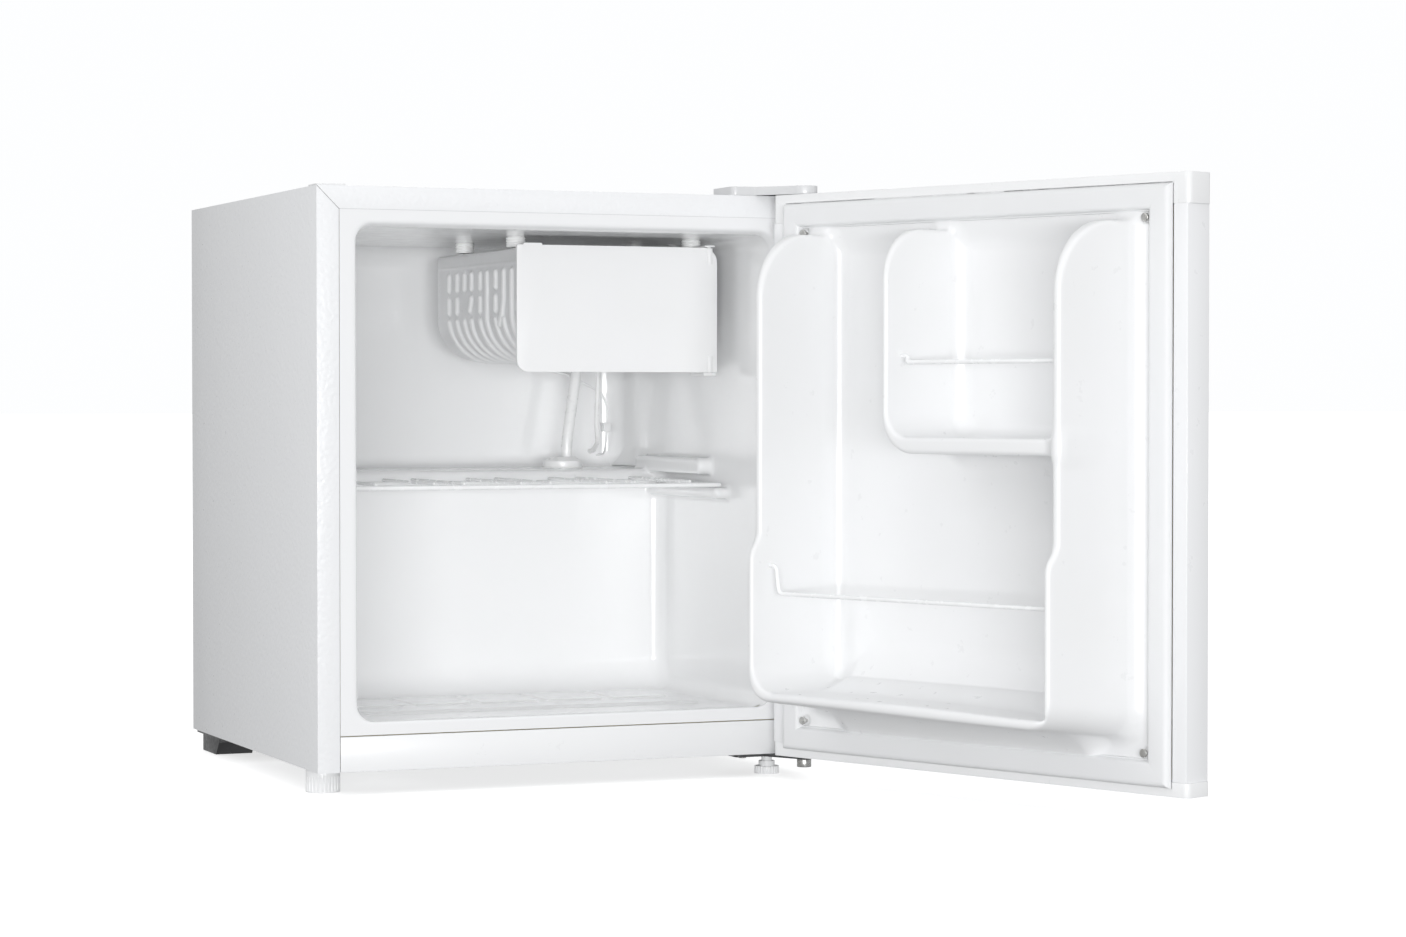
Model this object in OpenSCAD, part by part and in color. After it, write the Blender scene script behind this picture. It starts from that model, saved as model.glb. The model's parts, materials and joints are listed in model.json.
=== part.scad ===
// Compact single-door refrigerator with a hung freezer box, shown with its door standing open.
// Millimetres. X is across the cabinet, -Y is the door side, +Z is up.
// The origin is on the floor under the middle of the cabinet.

/* [Cabinet] */
// Width of the cabinet
cab_w = 440; // [430:1:450]
// Depth of the cabinet without its door
cab_d = 407; // [400:1:415]
// Height of the cabinet above its feet
cab_h = 479; // [474:1:484]
// Height of the underside above the floor
foot_h = 19; // [18:1:22]
// Thickness of the steel sheets
sheet = 1; // [0.8:0.1:1.2]
// Width of the folded edge round the front
flange_w = 19; // [16:1:22]
// Height of the separate strip across the bottom
strip_h = 29; // [24:1:32]

/* [Food compartment] */
// Width inside the liner
inner_w = 370; // [366:2:374]
// Width of the opening at its front lip
mouth_w = 372; // [370:1:376]
// Height of the floor
floor_z = 57; // [55:1:59]
// Height of the bottom of the opening
mouth_z0 = 60.5; // [60:0.5:63]
// Height of the top of the opening
mouth_z1 = 467.5; // [466:0.5:470]
// Height of the ceiling
ceiling_z = 465; // [463:1:466]
// Distance from the front to the upper back wall
back_y = 366; // [360:1:370]
// Distance from the front to the wall in front of the compressor
hump_y = 252; // [246:1:256]
// Height of the step over the compressor
step_z = 259.5; // [256:0.5:262]
// Thickness of the plastic liners
liner_t = 2; // [1.5:0.5:2.5]

/* [Door] */
// Angle that the door stands open at
door_open = 111.4; // [0:0.1:130]
// Gap between the cabinet and the door body
door_gap = 7; // [6:0.5:8]
// Thickness of the door body
door_t = 27; // [26:1:30]
// Distance of the door's pivot from the cabinet's side
pivot_inset = 17; // [16:0.5:18]
// Distance of the door's pivot in front of the cabinet
pivot_out = 26.5; // [26:0.5:28]
// Depth of the bottle ridges above the door's flange
ridge_c = 75; // [70:1:78]
// Extra depth of the ridges beside the lower rack
ridge_step = 10; // [6:1:11]
// Distance of the ridges' crests from the middle of the door
ridge_x = 158.5; // [156:0.5:160]

/* [Freezer box] */
// Left side of the evaporator
evap_x0 = -15.5; // [-20:0.5:-10]
// Right side of the evaporator
evap_x1 = 170.5; // [165:0.5:172]
// Front edge of the evaporator
evap_y0 = 94.5; // [94.5:0.5:97]
// Rear edge of the evaporator
evap_y1 = 310; // [300:1:320]
// Underside of the evaporator
evap_z0 = 357; // [350:1:360]
// Top of the evaporator
evap_z1 = 456; // [450:1:458]
// Radius of its lower bends
evap_r = 41; // [30:1:44]

/* [Shelf] */
// Height of the shelf's front rail
shelf_z = 248; // [247:0.5:249]
// Distance of the front rail behind the front
shelf_y0 = 100; // [98:1:104]
// Distance of the rear rail behind the front
shelf_y1 = 243; // [236:1:245]
// Pitch of the pairs of shelf wires
pair_pitch = 79; // [76:0.5:80]
// Distance between the two wires of a pair
pair_gap = 27; // [20:1:28]

/* [Cooling unit] */
// Distance across the compressor
comp_r = 52; // [44:1:54]
// Left-right place of the compressor
comp_x = 30; // [0:1:60]
// Number of straight runs in the condenser
cond_runs = 7; // [5:1:8]
// Number of wires on each side of the condenser
cond_wires = 24; // [12:1:26]

/* [Hidden] */

$fn = 48;
eps = 0.01;

// Heights and half widths
top_z = foot_h + cab_h;
half_w = cab_w / 2;
half_in = inner_w / 2;
half_mouth = mouth_w / 2;
strip_top = foot_h + strip_h;
strip_lip = 10;
mouth_r = 13;
mouth_depth = 6;
wall_gap = 0.4;

// The bay behind the compartment, which holds the compressor
bay_y = hump_y + 24;
bay_z = step_z - 23.5;
bay_x = half_w - sheet;

// Shell corners inside the compartment
floor_r = 28;
step_r = 8;
hump_side_r = 14;
back_side_r = 22;
back_top_r = 20;
back_low_r = 12;

// Ribs that hold the shelf
rib_out = 14;
rib_low_z0 = 235.5;
rib_low_z1 = 245.5;
rib_low_y0 = 92;
rib_high_z0 = 256.5;
rib_high_z1 = 271.5;
rib_high_y0 = 130;
rib_high_y1 = 285;

// Pads and ridges pressed into the floor
pad_count = 5;
pad_pitch = 61.5;
pad_w = 52;
pad_x = -124;
pad_y0 = 150;
pad_y1 = 220;
pad_h = 1.4;

// Door: its own frame is the closed door's, with the inner flange at y = -door_gap
door_z0 = foot_h + 0.7;
door_z1 = top_z - 0.7;
door_front = -door_gap - door_t;
door_in = -door_gap;
pivot_x = half_w - pivot_inset;
pivot_y = -pivot_out;
cap_top_z = door_z1 - 24;
cap_low_z = door_z0 + 11.5;
cap_proud = 1.5;
door_flange = 13.5;
skin = door_in - liner_t;

// Door liner
tray_d = 10;
tray_y = door_in - tray_d;
tray_x = 156;
tray_z0 = 80;
tray_z1 = 461;
ridge_low = ridge_c + ridge_step;
ridge_base = 174.5;
ridge_half = 3.6;
ridge_top_r = 56;
bin_x = 28;
bin_c = 67;
bin_z = 293;
bin_t = 14;

// Rails
rail_r = 1.7;
pin_r = 3;
bush_r = 5;
running = 0.05;
low_rail_y = 65;
low_rail_z = 187;
low_rail_drop = 23;
up_rail_y = 50;
up_rail_z = 358.5;

// Gasket
gasket_x = 206;
gasket_z0 = 26.5;
gasket_z1 = 489;
gasket_in_x = 175.5;
gasket_in_z0 = 47;
gasket_in_z1 = 466;
gasket_y = -0.6;

// Freezer box details
evap_t = 1.5;
flap_x0 = -17;
flap_x1 = 169.5;
flap_z0 = 347.5;
flap_z1 = 456.8;
flap_t = 3.5;
flap_y = 85;
flap_pin_x = 162.5;
flap_pin_y = 86.5;
flap_pin_r = 1.5;
knuckle_r = 3.2;
post_r = 8.5;
hanger_r = 1.7;
post_x = [-5, 160];
post_y = [122, 259];

// Pipes
grommet_x = 109;
grommet_y = 311;
sleeve_r = 5;
sleeve_off = 4;
pipe_r = 2.8;

// Wires of the shelf
rail_wire = 2;
cross_wire = 1.4;
shelf_half = 177;
shelf_shift = 3;
wire_shift = 5.5;

// Cooling unit
base_z = foot_h - 2;
comp_y = 340;
comp_z = 34;
comp_h = 150;
cond_y = cab_d + 11;
cond_z0 = 262;
cond_pitch = 33;
cond_r = 2.4;
cond_x = 160;
wire_r = 0.8;
knob_x = 150;
knob_z = 207;
knob_r = 15;
panel_rear = cab_d;

// Front feet
stud_r = 3;
foot_places = [[-204.5, 38], [189, 21]];
insert_r = 7;

// ---------- Frames and helpers ----------

// Puts the front face of the cabinet at y = 0
module from_front() translate([0, -cab_d / 2, 0]) children();

// Turns the closed door about its pivot to the angle it stands at
module on_door()
    from_front()
    translate([pivot_x, pivot_y, 0])
    rotate([0, 0, door_open])
    translate([-pivot_x, -pivot_y, 0])
    children();

// Box from one corner to the opposite one
module block(a, b) translate(a) cube(b - a);

// Extrudes an outline drawn in X and Z along Y
module along_y(y0, y1) translate([0, y1, 0]) rotate([90, 0, 0]) linear_extrude(y1 - y0) children();

// Extrudes an outline drawn in Y and Z along X
module along_x(x0, x1) translate([x0, 0, 0]) rotate([90, 0, 90]) linear_extrude(x1 - x0) children();

// Points of an arc
function arc(cx, cy, r, a0, a1, steps = 6) =
    [for (i = [0:steps]) let (a = a0 + (a1 - a0) * i / steps) [cx + r * cos(a), cy + r * sin(a)]];

// Rectangle with round corners, from one corner to the opposite one
function round_rect(x0, y0, x1, y1, r, steps = 6) = concat(
    arc(x1 - r, y1 - r, r, 0, 90, steps),
    arc(x0 + r, y1 - r, r, 90, 180, steps),
    arc(x0 + r, y0 + r, r, 180, 270, steps),
    arc(x1 - r, y0 + r, r, 270, 360, steps)
);

// A straight rod between two points
module rod(a, b, r) {
    d = b - a;
    translate(a)
        rotate([0, acos(d[2] / norm(d)), atan2(d[1], d[0])])
        cylinder(r = r, h = norm(d));
}

// A bent tube: rods with a slightly fuller ball at each bend
module bent_tube(points, r) {
    for (i = [0:len(points) - 2]) rod(points[i], points[i + 1], r);
    for (i = [1:len(points) - 2]) translate(points[i]) sphere(r = r + 0.1);
}

// ---------- Cabinet ----------

// Side view of the food compartment, grown outwards by g
function space_side(g) = concat(
    arc(hump_y - floor_r, floor_z + floor_r, floor_r + g, -90, 0),
    arc(hump_y + step_r, step_z - step_r, step_r - g, 180, 90),
    arc(back_y - back_low_r, step_z + back_low_r, back_low_r + g, -90, 0),
    arc(back_y - back_top_r, ceiling_z - back_top_r, back_top_r + g, 0, 90),
    [[mouth_depth - g, ceiling_z + g], [mouth_depth - g, floor_z - g]]
);

// Plan of the compartment with its two rear corners rounded, grown outwards by g
function space_plan(y, r, g) = concat(
    arc(half_in - r, y - r, r + g, 0, 90),
    arc(-half_in + r, y - r, r + g, 90, 180),
    [[-half_in - g, mouth_depth - g], [half_in + g, mouth_depth - g]]
);

// The hollow inside the liner, grown outwards by g
module space(g) {
    along_y(-1, mouth_depth + 2)
        polygon(round_rect(-half_mouth - g, mouth_z0 - g, half_mouth + g, mouth_z1 + g, mouth_r + g));
    intersection() {
        along_x(-half_in - 9, half_in + 9) polygon(space_side(g));
        along_y(mouth_depth - g, back_y + 9)
            polygon(round_rect(-half_in - g, floor_z - g, half_in + g, ceiling_z + g, mouth_r + g));
        union() {
            translate([0, 0, step_z - step_r])
                linear_extrude(ceiling_z) polygon(space_plan(back_y, back_side_r, g));
            translate([0, 0, floor_z - 9])
                linear_extrude(step_z - step_r - floor_z + 9) polygon(space_plan(hump_y, hump_side_r, g));
        }
    }
}

// Round holes through the bottom for the front feet's studs
module foot_holes(r) {
    for (p = foot_places) translate([p[0], p[1], 0]) cylinder(r = r, h = 45);
}

// Screw places of the two hinge plates: [x, y]
top_screws = [[160, 28], [196, 28]];
low_screws = [[163, 14], [163, 34]];

module outer_shell() {
    color([0.93, 0.93, 0.91]) from_front() difference() {
        union() {
            difference() {
                block([-half_w, 0, foot_h], [half_w, cab_d, top_z]);
                block([-half_w + sheet, -1, foot_h - 1], [half_w - sheet, cab_d + 1, top_z - sheet]);
            }
            difference() {
                block([-half_w, 0, foot_h], [half_w, sheet, top_z]);
                block([-half_w + flange_w, -1, foot_h - 1], [half_w - flange_w, sheet + 1, top_z - flange_w]);
            }
        }
        for (p = top_screws) translate([p[0], p[1], top_z - 5]) cylinder(r = 1.8, h = 10);
    }
}

module front_strip() {
    x = half_w - flange_w - wall_gap;
    color([0.93, 0.93, 0.91]) from_front() union() {
        block([-x, 0, foot_h], [x, sheet, strip_top]);
        block([-x, 0, foot_h], [x, strip_lip, foot_h + sheet]);
    }
}

module inner_liner() {
    x = half_w - flange_w - wall_gap;
    color([0.96, 0.96, 0.95]) from_front() {
        difference() {
            union() {
                block([-x, 0, strip_top + wall_gap], [x, liner_t, top_z - flange_w - wall_gap]);
                intersection() {
                    space(liner_t);
                    block([-half_w, 0, 0], [half_w, cab_d, top_z]);
                }
            }
            difference() {
                space(0);
                shelf_ribs(0);
                floor_pads();
            }
            shelf_ribs(-liner_t);
            translate([grommet_x, grommet_y, step_z - 9]) cylinder(r = 7, h = 15);
            pipe_holes();
            hanger_holes();
        }
    }
}

// Holes in the ceiling for the screws that hold the freezer box
module hanger_holes() {
    for (x = post_x) for (y = post_y) translate([x, y, ceiling_z - 1]) cylinder(r = hanger_r + running, h = 20);
}

// Two ribs on each side wall, with the shelf's slot between them, grown outwards by g
module shelf_ribs(g) {
    for (side = [-1, 1]) {
        x0 = side * (half_in + 1 - 2 * g);
        x1 = side * (half_in - rib_out - g);
        rib(x0, x1, rib_low_y0 - g, hump_y + 1 - g, rib_low_z0 - g, rib_low_z1 + g);
        rib(x0, x1, rib_high_y0 - g, rib_high_y1 + g, rib_high_z0 - g, rib_high_z1 + g);
    }
}

// One rib with a round front end
module rib(xa, xb, y0, y1, z0, z1) {
    r = (z1 - z0) / 2;
    block([min(xa, xb), y0 + r, z0], [max(xa, xb), y1, z1]);
    translate([min(xa, xb), y0 + r, z0 + r]) rotate([0, 90, 0]) cylinder(r = r, h = abs(xb - xa));
}

// Shallow pads and two low ridges pressed into the floor
module floor_pads() {
    for (i = [0:pad_count - 1]) {
        x = pad_x + i * pad_pitch;
        block([x - pad_w / 2, pad_y0, floor_z - 1], [x + pad_w / 2, pad_y1, floor_z + pad_h]);
    }
    for (y = [84, 99]) block([-150, y, floor_z - 1], [150, y + 3, floor_z + 1]);
}

// Where the return tube and the capillary go through the back wall
module pipe_holes() {
    for (p = [[157, 274, pipe_r], [164, 270, 1.6]])
        translate([p[0], back_y - 20, p[1]]) rotate([-90, 0, 0]) cylinder(r = p[2] + 0.3, h = 30);
}

module cabinet_foam() {
    color([0.93, 0.88, 0.66]) from_front() difference() {
        block([-bay_x, liner_t, foot_h + 2], [bay_x, cab_d - 2 * sheet, top_z - sheet]);
        difference() {
            space(liner_t);
            shelf_ribs(-liner_t);
        }
        block([-half_w, bay_y - sheet, foot_h], [half_w, cab_d, bay_z + sheet]);
        translate([grommet_x, grommet_y, bay_z - 2]) cylinder(r = 7, h = 40);
        pipe_holes();
        hanger_holes();
        foot_holes(stud_r + 0.5);
        for (p = foot_places) translate([p[0], p[1], foot_h]) cylinder(r = insert_r + 1.2, h = 10);
        for (p = top_screws) translate([p[0], p[1], top_z - 14]) cylinder(r = 1.5, h = 20);
        for (p = low_screws) translate([p[0], p[1], foot_h]) cylinder(r = 1.5, h = 14);
    }
}

module back_panel() {
    color([0.62, 0.63, 0.64]) from_front()
        block([-bay_x, cab_d - 2 * sheet, bay_z + 2 * sheet], [bay_x, cab_d - sheet, top_z - sheet]);
}

// The bottom sheet, folded up behind the compartment and back over the bay
module bay_panel() {
    color([0.7, 0.71, 0.72]) from_front() difference() {
        union() {
            block([-bay_x, sheet, foot_h + sheet], [bay_x, bay_y, foot_h + 2 * sheet]);
            block([-bay_x, bay_y - sheet, foot_h + sheet], [bay_x, bay_y, bay_z + sheet]);
            block([-bay_x, bay_y - sheet, bay_z], [bay_x, cab_d - sheet, bay_z + sheet]);
        }
        translate([grommet_x, grommet_y, bay_z - 2]) cylinder(r = 7, h = 6);
        foot_holes(stud_r + 0.5);
        for (p = low_screws) translate([p[0], p[1], foot_h]) cylinder(r = 1.8, h = 6);
        block([-half_w, -1, foot_h], [half_w, 2 * sheet, foot_h + 5]);
    }
}

// Rear skids that the cabinet stands on, one plate with the compressor's rail
module compressor_base() {
    color([0.09, 0.09, 0.1]) from_front() {
        difference() {
            union() {
                block([-bay_x, 300, base_z], [bay_x, 396, foot_h]);
                for (side = [-1, 1]) {
                    skid(side);
                    block([side * (bay_x - 1) - 1, 300, base_z], [side * (bay_x - 1) + 1, 396, foot_h + 14]);
                }
                block([-136, 393, foot_h], [-104, 396, foot_h + 36]);
            }
            translate([-120, 390, foot_h + 20]) rotate([-90, 0, 0]) cylinder(r = 7, h = 10);
            for (p = comp_mounts()) translate([p[0], p[1], base_z - 1]) cylinder(r = 3.1, h = 10);
        }
    }
}

// One rear skid: an open-topped foot with a sloping front
module skid(side) {
    difference() {
        along_x(side * 196 - 17, side * 196 + 17)
            polygon([[352, 0], [398, 0], [398, base_z + 1], [340, base_z + 1], [340, 12]]);
        along_x(side * 196 - 14, side * 196 + 14)
            polygon([[356, 3], [395, 3], [395, base_z], [344, base_z], [344, 13]]);
    }
}

module blanking_cap() {
    color([0.95, 0.95, 0.94]) from_front()
        translate([0, 0, top_z]) linear_extrude(1.3)
        polygon(round_rect(-half_w, 0, -half_w + 25, 25, 2));
}

// ---------- Hinges ----------

hinge_t = 2.5;

// Outline of a hinge leaf: a round-cornered plate with an arm out to the pivot, shrunk by g
function leaf(x0, x1, y0, y1, r, arm_x, g) = concat(
    arc(x1 - r, y1 - r, r - g, 0, 90),
    arc(x0 + r, y1 - r, r - g, 90, 180),
    arc(x0 + r, y0 + r, r - g, 180, 270),
    [[arm_x + g / 2, y0 + g]],
    arc(pivot_x, pivot_y, pivot_x - arm_x > 30 ? 11 - g : 8 - g, 190, 360, 12),
    [[x1 - g, y0]]
);

module top_hinge_plate() {
    color([0.75, 0.76, 0.77]) from_front() difference() {
        translate([0, 0, top_z]) linear_extrude(hinge_t) polygon(leaf(151, 211, 6, 40, 5, 186, 0));
        for (p = top_screws) translate([p[0], p[1], top_z - 1]) cylinder(r = 2.2, h = 9);
        translate([pivot_x, pivot_y, top_z - 1]) cylinder(r = pin_r, h = 9);
    }
}

module top_hinge_cover() {
    color([0.96, 0.96, 0.95]) from_front() difference() {
        translate([0, 0, top_z]) linear_extrude(7.5) polygon(leaf(147, 215, -1, 44, 5, 168, 0));
        translate([0, 0, top_z - 1]) linear_extrude(6.5) polygon(leaf(147, 215, -1, 44, 5, 168, 2));
        block([140, -60, top_z - 1], [220, -0.5, top_z + 0.3]);
    }
}

module bottom_hinge_plate() {
    color([0.1, 0.1, 0.11]) from_front() difference() {
        translate([0, 0, foot_h - hinge_t]) linear_extrude(hinge_t) polygon(leaf(152, 209, 2, 44, 4, 178, 0));
        for (p = low_screws) translate([p[0], p[1], foot_h - 4]) cylinder(r = 2.2, h = 8);
        translate([foot_places[1][0], foot_places[1][1], foot_h - 4]) cylinder(r = stud_r + 0.5, h = 8);
        translate([pivot_x, pivot_y, foot_h - 4]) cylinder(r = pin_r, h = 9);
    }
}

// The two pivots of the door: a headed pin above and a bolt with its nut below
module hinge_pins() {
    color([0.45, 0.45, 0.46]) from_front() translate([pivot_x, pivot_y, 0]) {
        translate([0, 0, top_z - 18]) cylinder(r = pin_r, h = 18 + hinge_t);
        translate([0, 0, top_z + hinge_t]) cylinder(r = 5, h = 1.6);
        translate([0, 0, foot_h - hinge_t - 6]) cylinder(r = pin_r, h = 22 + hinge_t);
        translate([0, 0, foot_h - hinge_t - 7]) cylinder(r = 6.2, h = 7);
    }
}

module hinge_screws() {
    color([0.75, 0.75, 0.74]) from_front() {
        for (p = top_screws) translate([p[0], p[1], 0]) {
            translate([0, 0, top_z - 13]) cylinder(r = 1.5, h = 13 + hinge_t);
            translate([0, 0, top_z + hinge_t]) cylinder(r = 3.4, h = 1.8);
        }
        for (p = low_screws) translate([p[0], p[1], 0]) {
            translate([0, 0, foot_h - hinge_t]) cylinder(r = 1.5, h = 14);
            translate([0, 0, foot_h - hinge_t - 1.8]) cylinder(r = 3.4, h = 1.8);
        }
    }
}

// ---------- Front feet ----------

module foot_nuts() {
    color([0.6, 0.6, 0.62]) from_front()
        for (p = foot_places) translate([p[0], p[1], foot_h + 2 * sheet]) difference() {
            cylinder(r = insert_r, h = 6.5, $fn = 6);
            translate([0, 0, -1]) cylinder(r = stud_r + running, h = 10);
        }
}

// Ribs round a foot, cut as small round flutes
module flutes(r, z0, z1, count) {
    for (i = [0:count - 1])
        rotate([0, 0, 360 * i / count]) translate([r + 0.5, 0, z0]) cylinder(r = 1.1, h = z1 - z0, $fn = 16);
}

module left_front_foot() {
    color([0.95, 0.95, 0.94]) from_front()
        translate([foot_places[0][0], foot_places[0][1], 0]) {
            difference() {
                cylinder(r = 14.2, h = foot_h - 0.5);
                flutes(14.2, 1, 13, 28);
            }
            cylinder(r = stud_r, h = foot_h + 11);
        }
}

module right_front_foot() {
    color([0.95, 0.95, 0.94]) from_front()
        translate([foot_places[1][0], foot_places[1][1], 0]) {
            difference() {
                cylinder(r = 10.6, h = 6.5);
                flutes(10.6, 0.8, 7, 24);
            }
            cylinder(r = 7, h = 11);
            cylinder(r = 4.6, h = foot_h - hinge_t - 0.5);
            cylinder(r = stud_r, h = foot_h + 11);
        }
}

// ---------- Freezer box ----------

// Front view of the evaporator's sheet, shrunk by g
function evap_outline(g) = concat(
    arc(evap_x0 + evap_r, evap_z0 + evap_r, evap_r - g, 180, 270, 8),
    arc(evap_x1 - evap_r, evap_z0 + evap_r, evap_r - g, 270, 360, 8),
    arc(evap_x1 - 4, evap_z1 - 4, 4 - g, 0, 90, 3),
    arc(evap_x0 + 4, evap_z1 - 4, 4 - g, 90, 180, 3)
);

module evaporator() {
    color([0.82, 0.84, 0.84]) from_front() difference() {
        along_y(evap_y0, evap_y1) polygon(evap_outline(0));
        along_y(evap_y0 - 1, evap_y1 + 1) polygon(evap_outline(evap_t));
        for (x = post_x) for (y = post_y) translate([x, y, evap_z1 - 5]) cylinder(r = 1.9, h = 9);
    }
}

// Ribbed spacers that hang the box from the ceiling
module evaporator_posts() {
    color([0.96, 0.96, 0.95]) from_front()
        for (x = post_x) for (y = post_y) translate([x, y, evap_z1]) difference() {
            union() {
                cylinder(r = post_r - 0.7, h = ceiling_z - evap_z1);
                for (z = [0:2.25:7]) translate([0, 0, z]) cylinder(r = post_r, h = 1.5);
            }
            translate([0, 0, -1]) cylinder(r = 1.9, h = 14);
        }
}

module evaporator_screws() {
    color([0.7, 0.7, 0.7]) from_front()
        for (x = post_x) for (y = post_y) translate([x, y, 0]) {
            translate([0, 0, evap_z1 - evap_t]) cylinder(r = hanger_r, h = ceiling_z - evap_z1 + 18);
            translate([0, 0, evap_z1 - evap_t - 1.8]) cylinder(r = 3.5, h = 1.8);
        }
}

module freezer_back_plate() {
    color([0.9, 0.91, 0.91]) from_front()
        along_y(evap_y1 - 8, evap_y1 - 6) polygon(evap_outline(evap_t + 0.05));
}

// Lugs with pins that carry the flap at its right end
module flap_lugs() {
    color([0.93, 0.93, 0.92]) from_front() {
        difference() {
            union() {
                block([156, 83, flap_z0 - 3.1], [168, 112, flap_z0 - 0.6]);
                block([156, 98, flap_z0 - 3.1], [168, 112, evap_z0 + evap_r]);
            }
            along_y(evap_y0, evap_y1) polygon(evap_outline(0));
        }
        translate([flap_pin_x, flap_pin_y, flap_z0 - 1]) cylinder(r = flap_pin_r, h = 11);
        block([158, 84, flap_z1 + 0.6], [167, 112, flap_z1 + 2]);
        block([158, evap_y0 + 0.3, evap_z1], [167, 112, flap_z1 + 1]);
        translate([flap_pin_x, flap_pin_y, flap_z1 - 10]) cylinder(r = flap_pin_r, h = 11);
    }
}

// Small rest that the flap closes against
module flap_stop() {
    color([0.93, 0.93, 0.92]) from_front()
        block([evap_x0 + evap_t, flap_y + flap_t + 0.4, 400], [evap_x0 + evap_t + 5, 108, 410]);
}

// The flap's front view: two corners are round and two are square
function flap_outline() = concat(
    arc(flap_x1 - 13, flap_z1 - 13, 13, 0, 90),
    arc(flap_x0 + 1, flap_z1 - 1, 1, 90, 180, 2),
    arc(flap_x0 + 10, flap_z0 + 10, 10, 180, 270),
    arc(flap_x1 - 1, flap_z0 + 1, 1, 270, 360, 2)
);

module freezer_flap() {
    color([0.97, 0.97, 0.96]) from_front() difference() {
        union() {
            along_y(flap_y, flap_y + flap_t) polygon(flap_outline());
            along_y(flap_y, flap_y + 2) polygon(round_rect(-11, flap_z1 - 3, 6, flap_z1 + 1.6, 1.2, 3));
            for (z = [flap_z0, flap_z1 - 14.5])
                translate([flap_pin_x, flap_pin_y, z]) cylinder(r = knuckle_r, h = 14);
        }
        for (z = [flap_z0 - 1, flap_z1 - 11])
            translate([flap_pin_x, flap_pin_y, z]) cylinder(r = flap_pin_r + running, h = 12);
    }
}

// ---------- Pipes inside the compartment ----------

module pipe_grommet() {
    color([0.95, 0.95, 0.94]) from_front() translate([grommet_x, grommet_y, step_z]) difference() {
        union() {
            cylinder(r = 18, h = 6.5);
            translate([0, 0, 6.5]) cylinder(r1 = 18, r2 = 12, h = 4);
            translate([0, 0, -8]) cylinder(r = 6.8, h = 9);
        }
        translate([0, 0, -10]) cylinder(r = pipe_r + 0.2, h = 20);
        translate([sleeve_off, 0, 5]) cylinder(r = sleeve_r + 0.2, h = 10);
    }
}

// Insulated part of the suction line, from the grommet to the box
module suction_sleeve() {
    color([0.96, 0.96, 0.94]) from_front()
        bent_tube([
            [grommet_x + sleeve_off, grommet_y, step_z + 5.2],
            [grommet_x + sleeve_off, grommet_y, step_z + 24],
            [grommet_x + sleeve_off + 14, grommet_y + 5, evap_z0 + 8]
        ], sleeve_r);
}

module return_tube() {
    color([0.9, 0.91, 0.9]) from_front()
        bent_tube([
            [157, back_y + 6, 274], [157, back_y - 8, 274], [153, 333, 284],
            [150, 330, 300], [149, 322, evap_z0 - 8], [143, 315, evap_z0 + 10]
        ], 2.2);
}

module sensor_capillary() {
    color([0.72, 0.72, 0.7]) from_front()
        bent_tube([
            [164, back_y + 6, 270], [164, back_y - 22, 272], [162, 335, 284], [162, 332, 318],
            [155, 330, 330], [118, 322, 347], [96, 314, 351]
        ], 1);
}

module capillary_clip() {
    color([0.85, 0.85, 0.84]) from_front() translate([162, 335, 297]) difference() {
        block([-3.4, -3.4, -4], [3.4, 3.4, 4]);
        translate([0, -0.8, -6]) cylinder(r = 2.2, h = 12);
    }
}

// ---------- Shelf ----------

module shelf_rails() {
    color([0.9, 0.91, 0.91]) from_front() translate([shelf_shift, 0, 0]) {
        rod([-shelf_half, shelf_y0, shelf_z], [shelf_half, shelf_y0, shelf_z], rail_wire);
        rod([-shelf_half, shelf_y1, shelf_z], [shelf_half, shelf_y1, shelf_z], rail_wire);
        rod([-shelf_half + 3, shelf_y0, shelf_z], [-shelf_half + 3, shelf_y1, shelf_z], rail_wire * 0.9);
        rod([shelf_half - 3, shelf_y0, shelf_z], [shelf_half - 3, shelf_y1, shelf_z], rail_wire * 0.9);
    }
}

// Wires from front to back, in pairs, lying on the two rails
module shelf_wires() {
    z = shelf_z + rail_wire + cross_wire;
    color([0.9, 0.91, 0.91]) from_front()
        for (i = [-2:2]) for (side = [-1, 1]) {
            x = wire_shift + i * pair_pitch + side * pair_gap / 2;
            if (abs(x - wire_shift) < 2 * pair_pitch)
                rod([x, shelf_y0 - 1, z], [x, shelf_y1 + 3, z], cross_wire);
        }
}

// ---------- Compressor and its parts ----------

function comp_mounts() = [for (sx = [-1, 1]) for (sy = [-1, 1]) [comp_x + sx * 82, comp_y + 8 + sy * 30]];

module compressor_shell() {
    r = comp_r;
    z1 = comp_h;
    color([0.06, 0.06, 0.07]) from_front() translate([comp_x, comp_y, comp_z])
        rotate_extrude($fn = 72) polygon(concat(
            [[0, 0]],
            arc(r - 30, 30, 30, -90, 0, 6),
            [[r, 82], [r + 3, 82], [r + 3, 88], [r - 2, 88]],
            arc(r - 42, z1 - 40, 40, 0, 90, 7),
            [[0, z1]]
        ));
}

// Plates welded to the pot, with a hole over each rubber mount
module compressor_feet() {
    color([0.08, 0.08, 0.09]) from_front() difference() {
        union() {
            for (sy = [-1, 1])
                block([comp_x - 94, comp_y + 8 + sy * 30 - 11, comp_z - 2],
                      [comp_x + 94, comp_y + 8 + sy * 30 + 11, comp_z]);
        }
        for (p = comp_mounts()) translate([p[0], p[1], comp_z - 6]) cylinder(r = 6.5, h = 12);
    }
}

module compressor_grommets() {
    color([0.13, 0.13, 0.13]) from_front()
        for (p = comp_mounts()) translate([p[0], p[1], foot_h]) difference() {
            union() {
                cylinder(r = 9, h = comp_z - 2 - foot_h);
                cylinder(r = 6.3, h = comp_z - foot_h + 3);
            }
            translate([0, 0, -1]) cylinder(r = 3.2, h = 30);
        }
}

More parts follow.
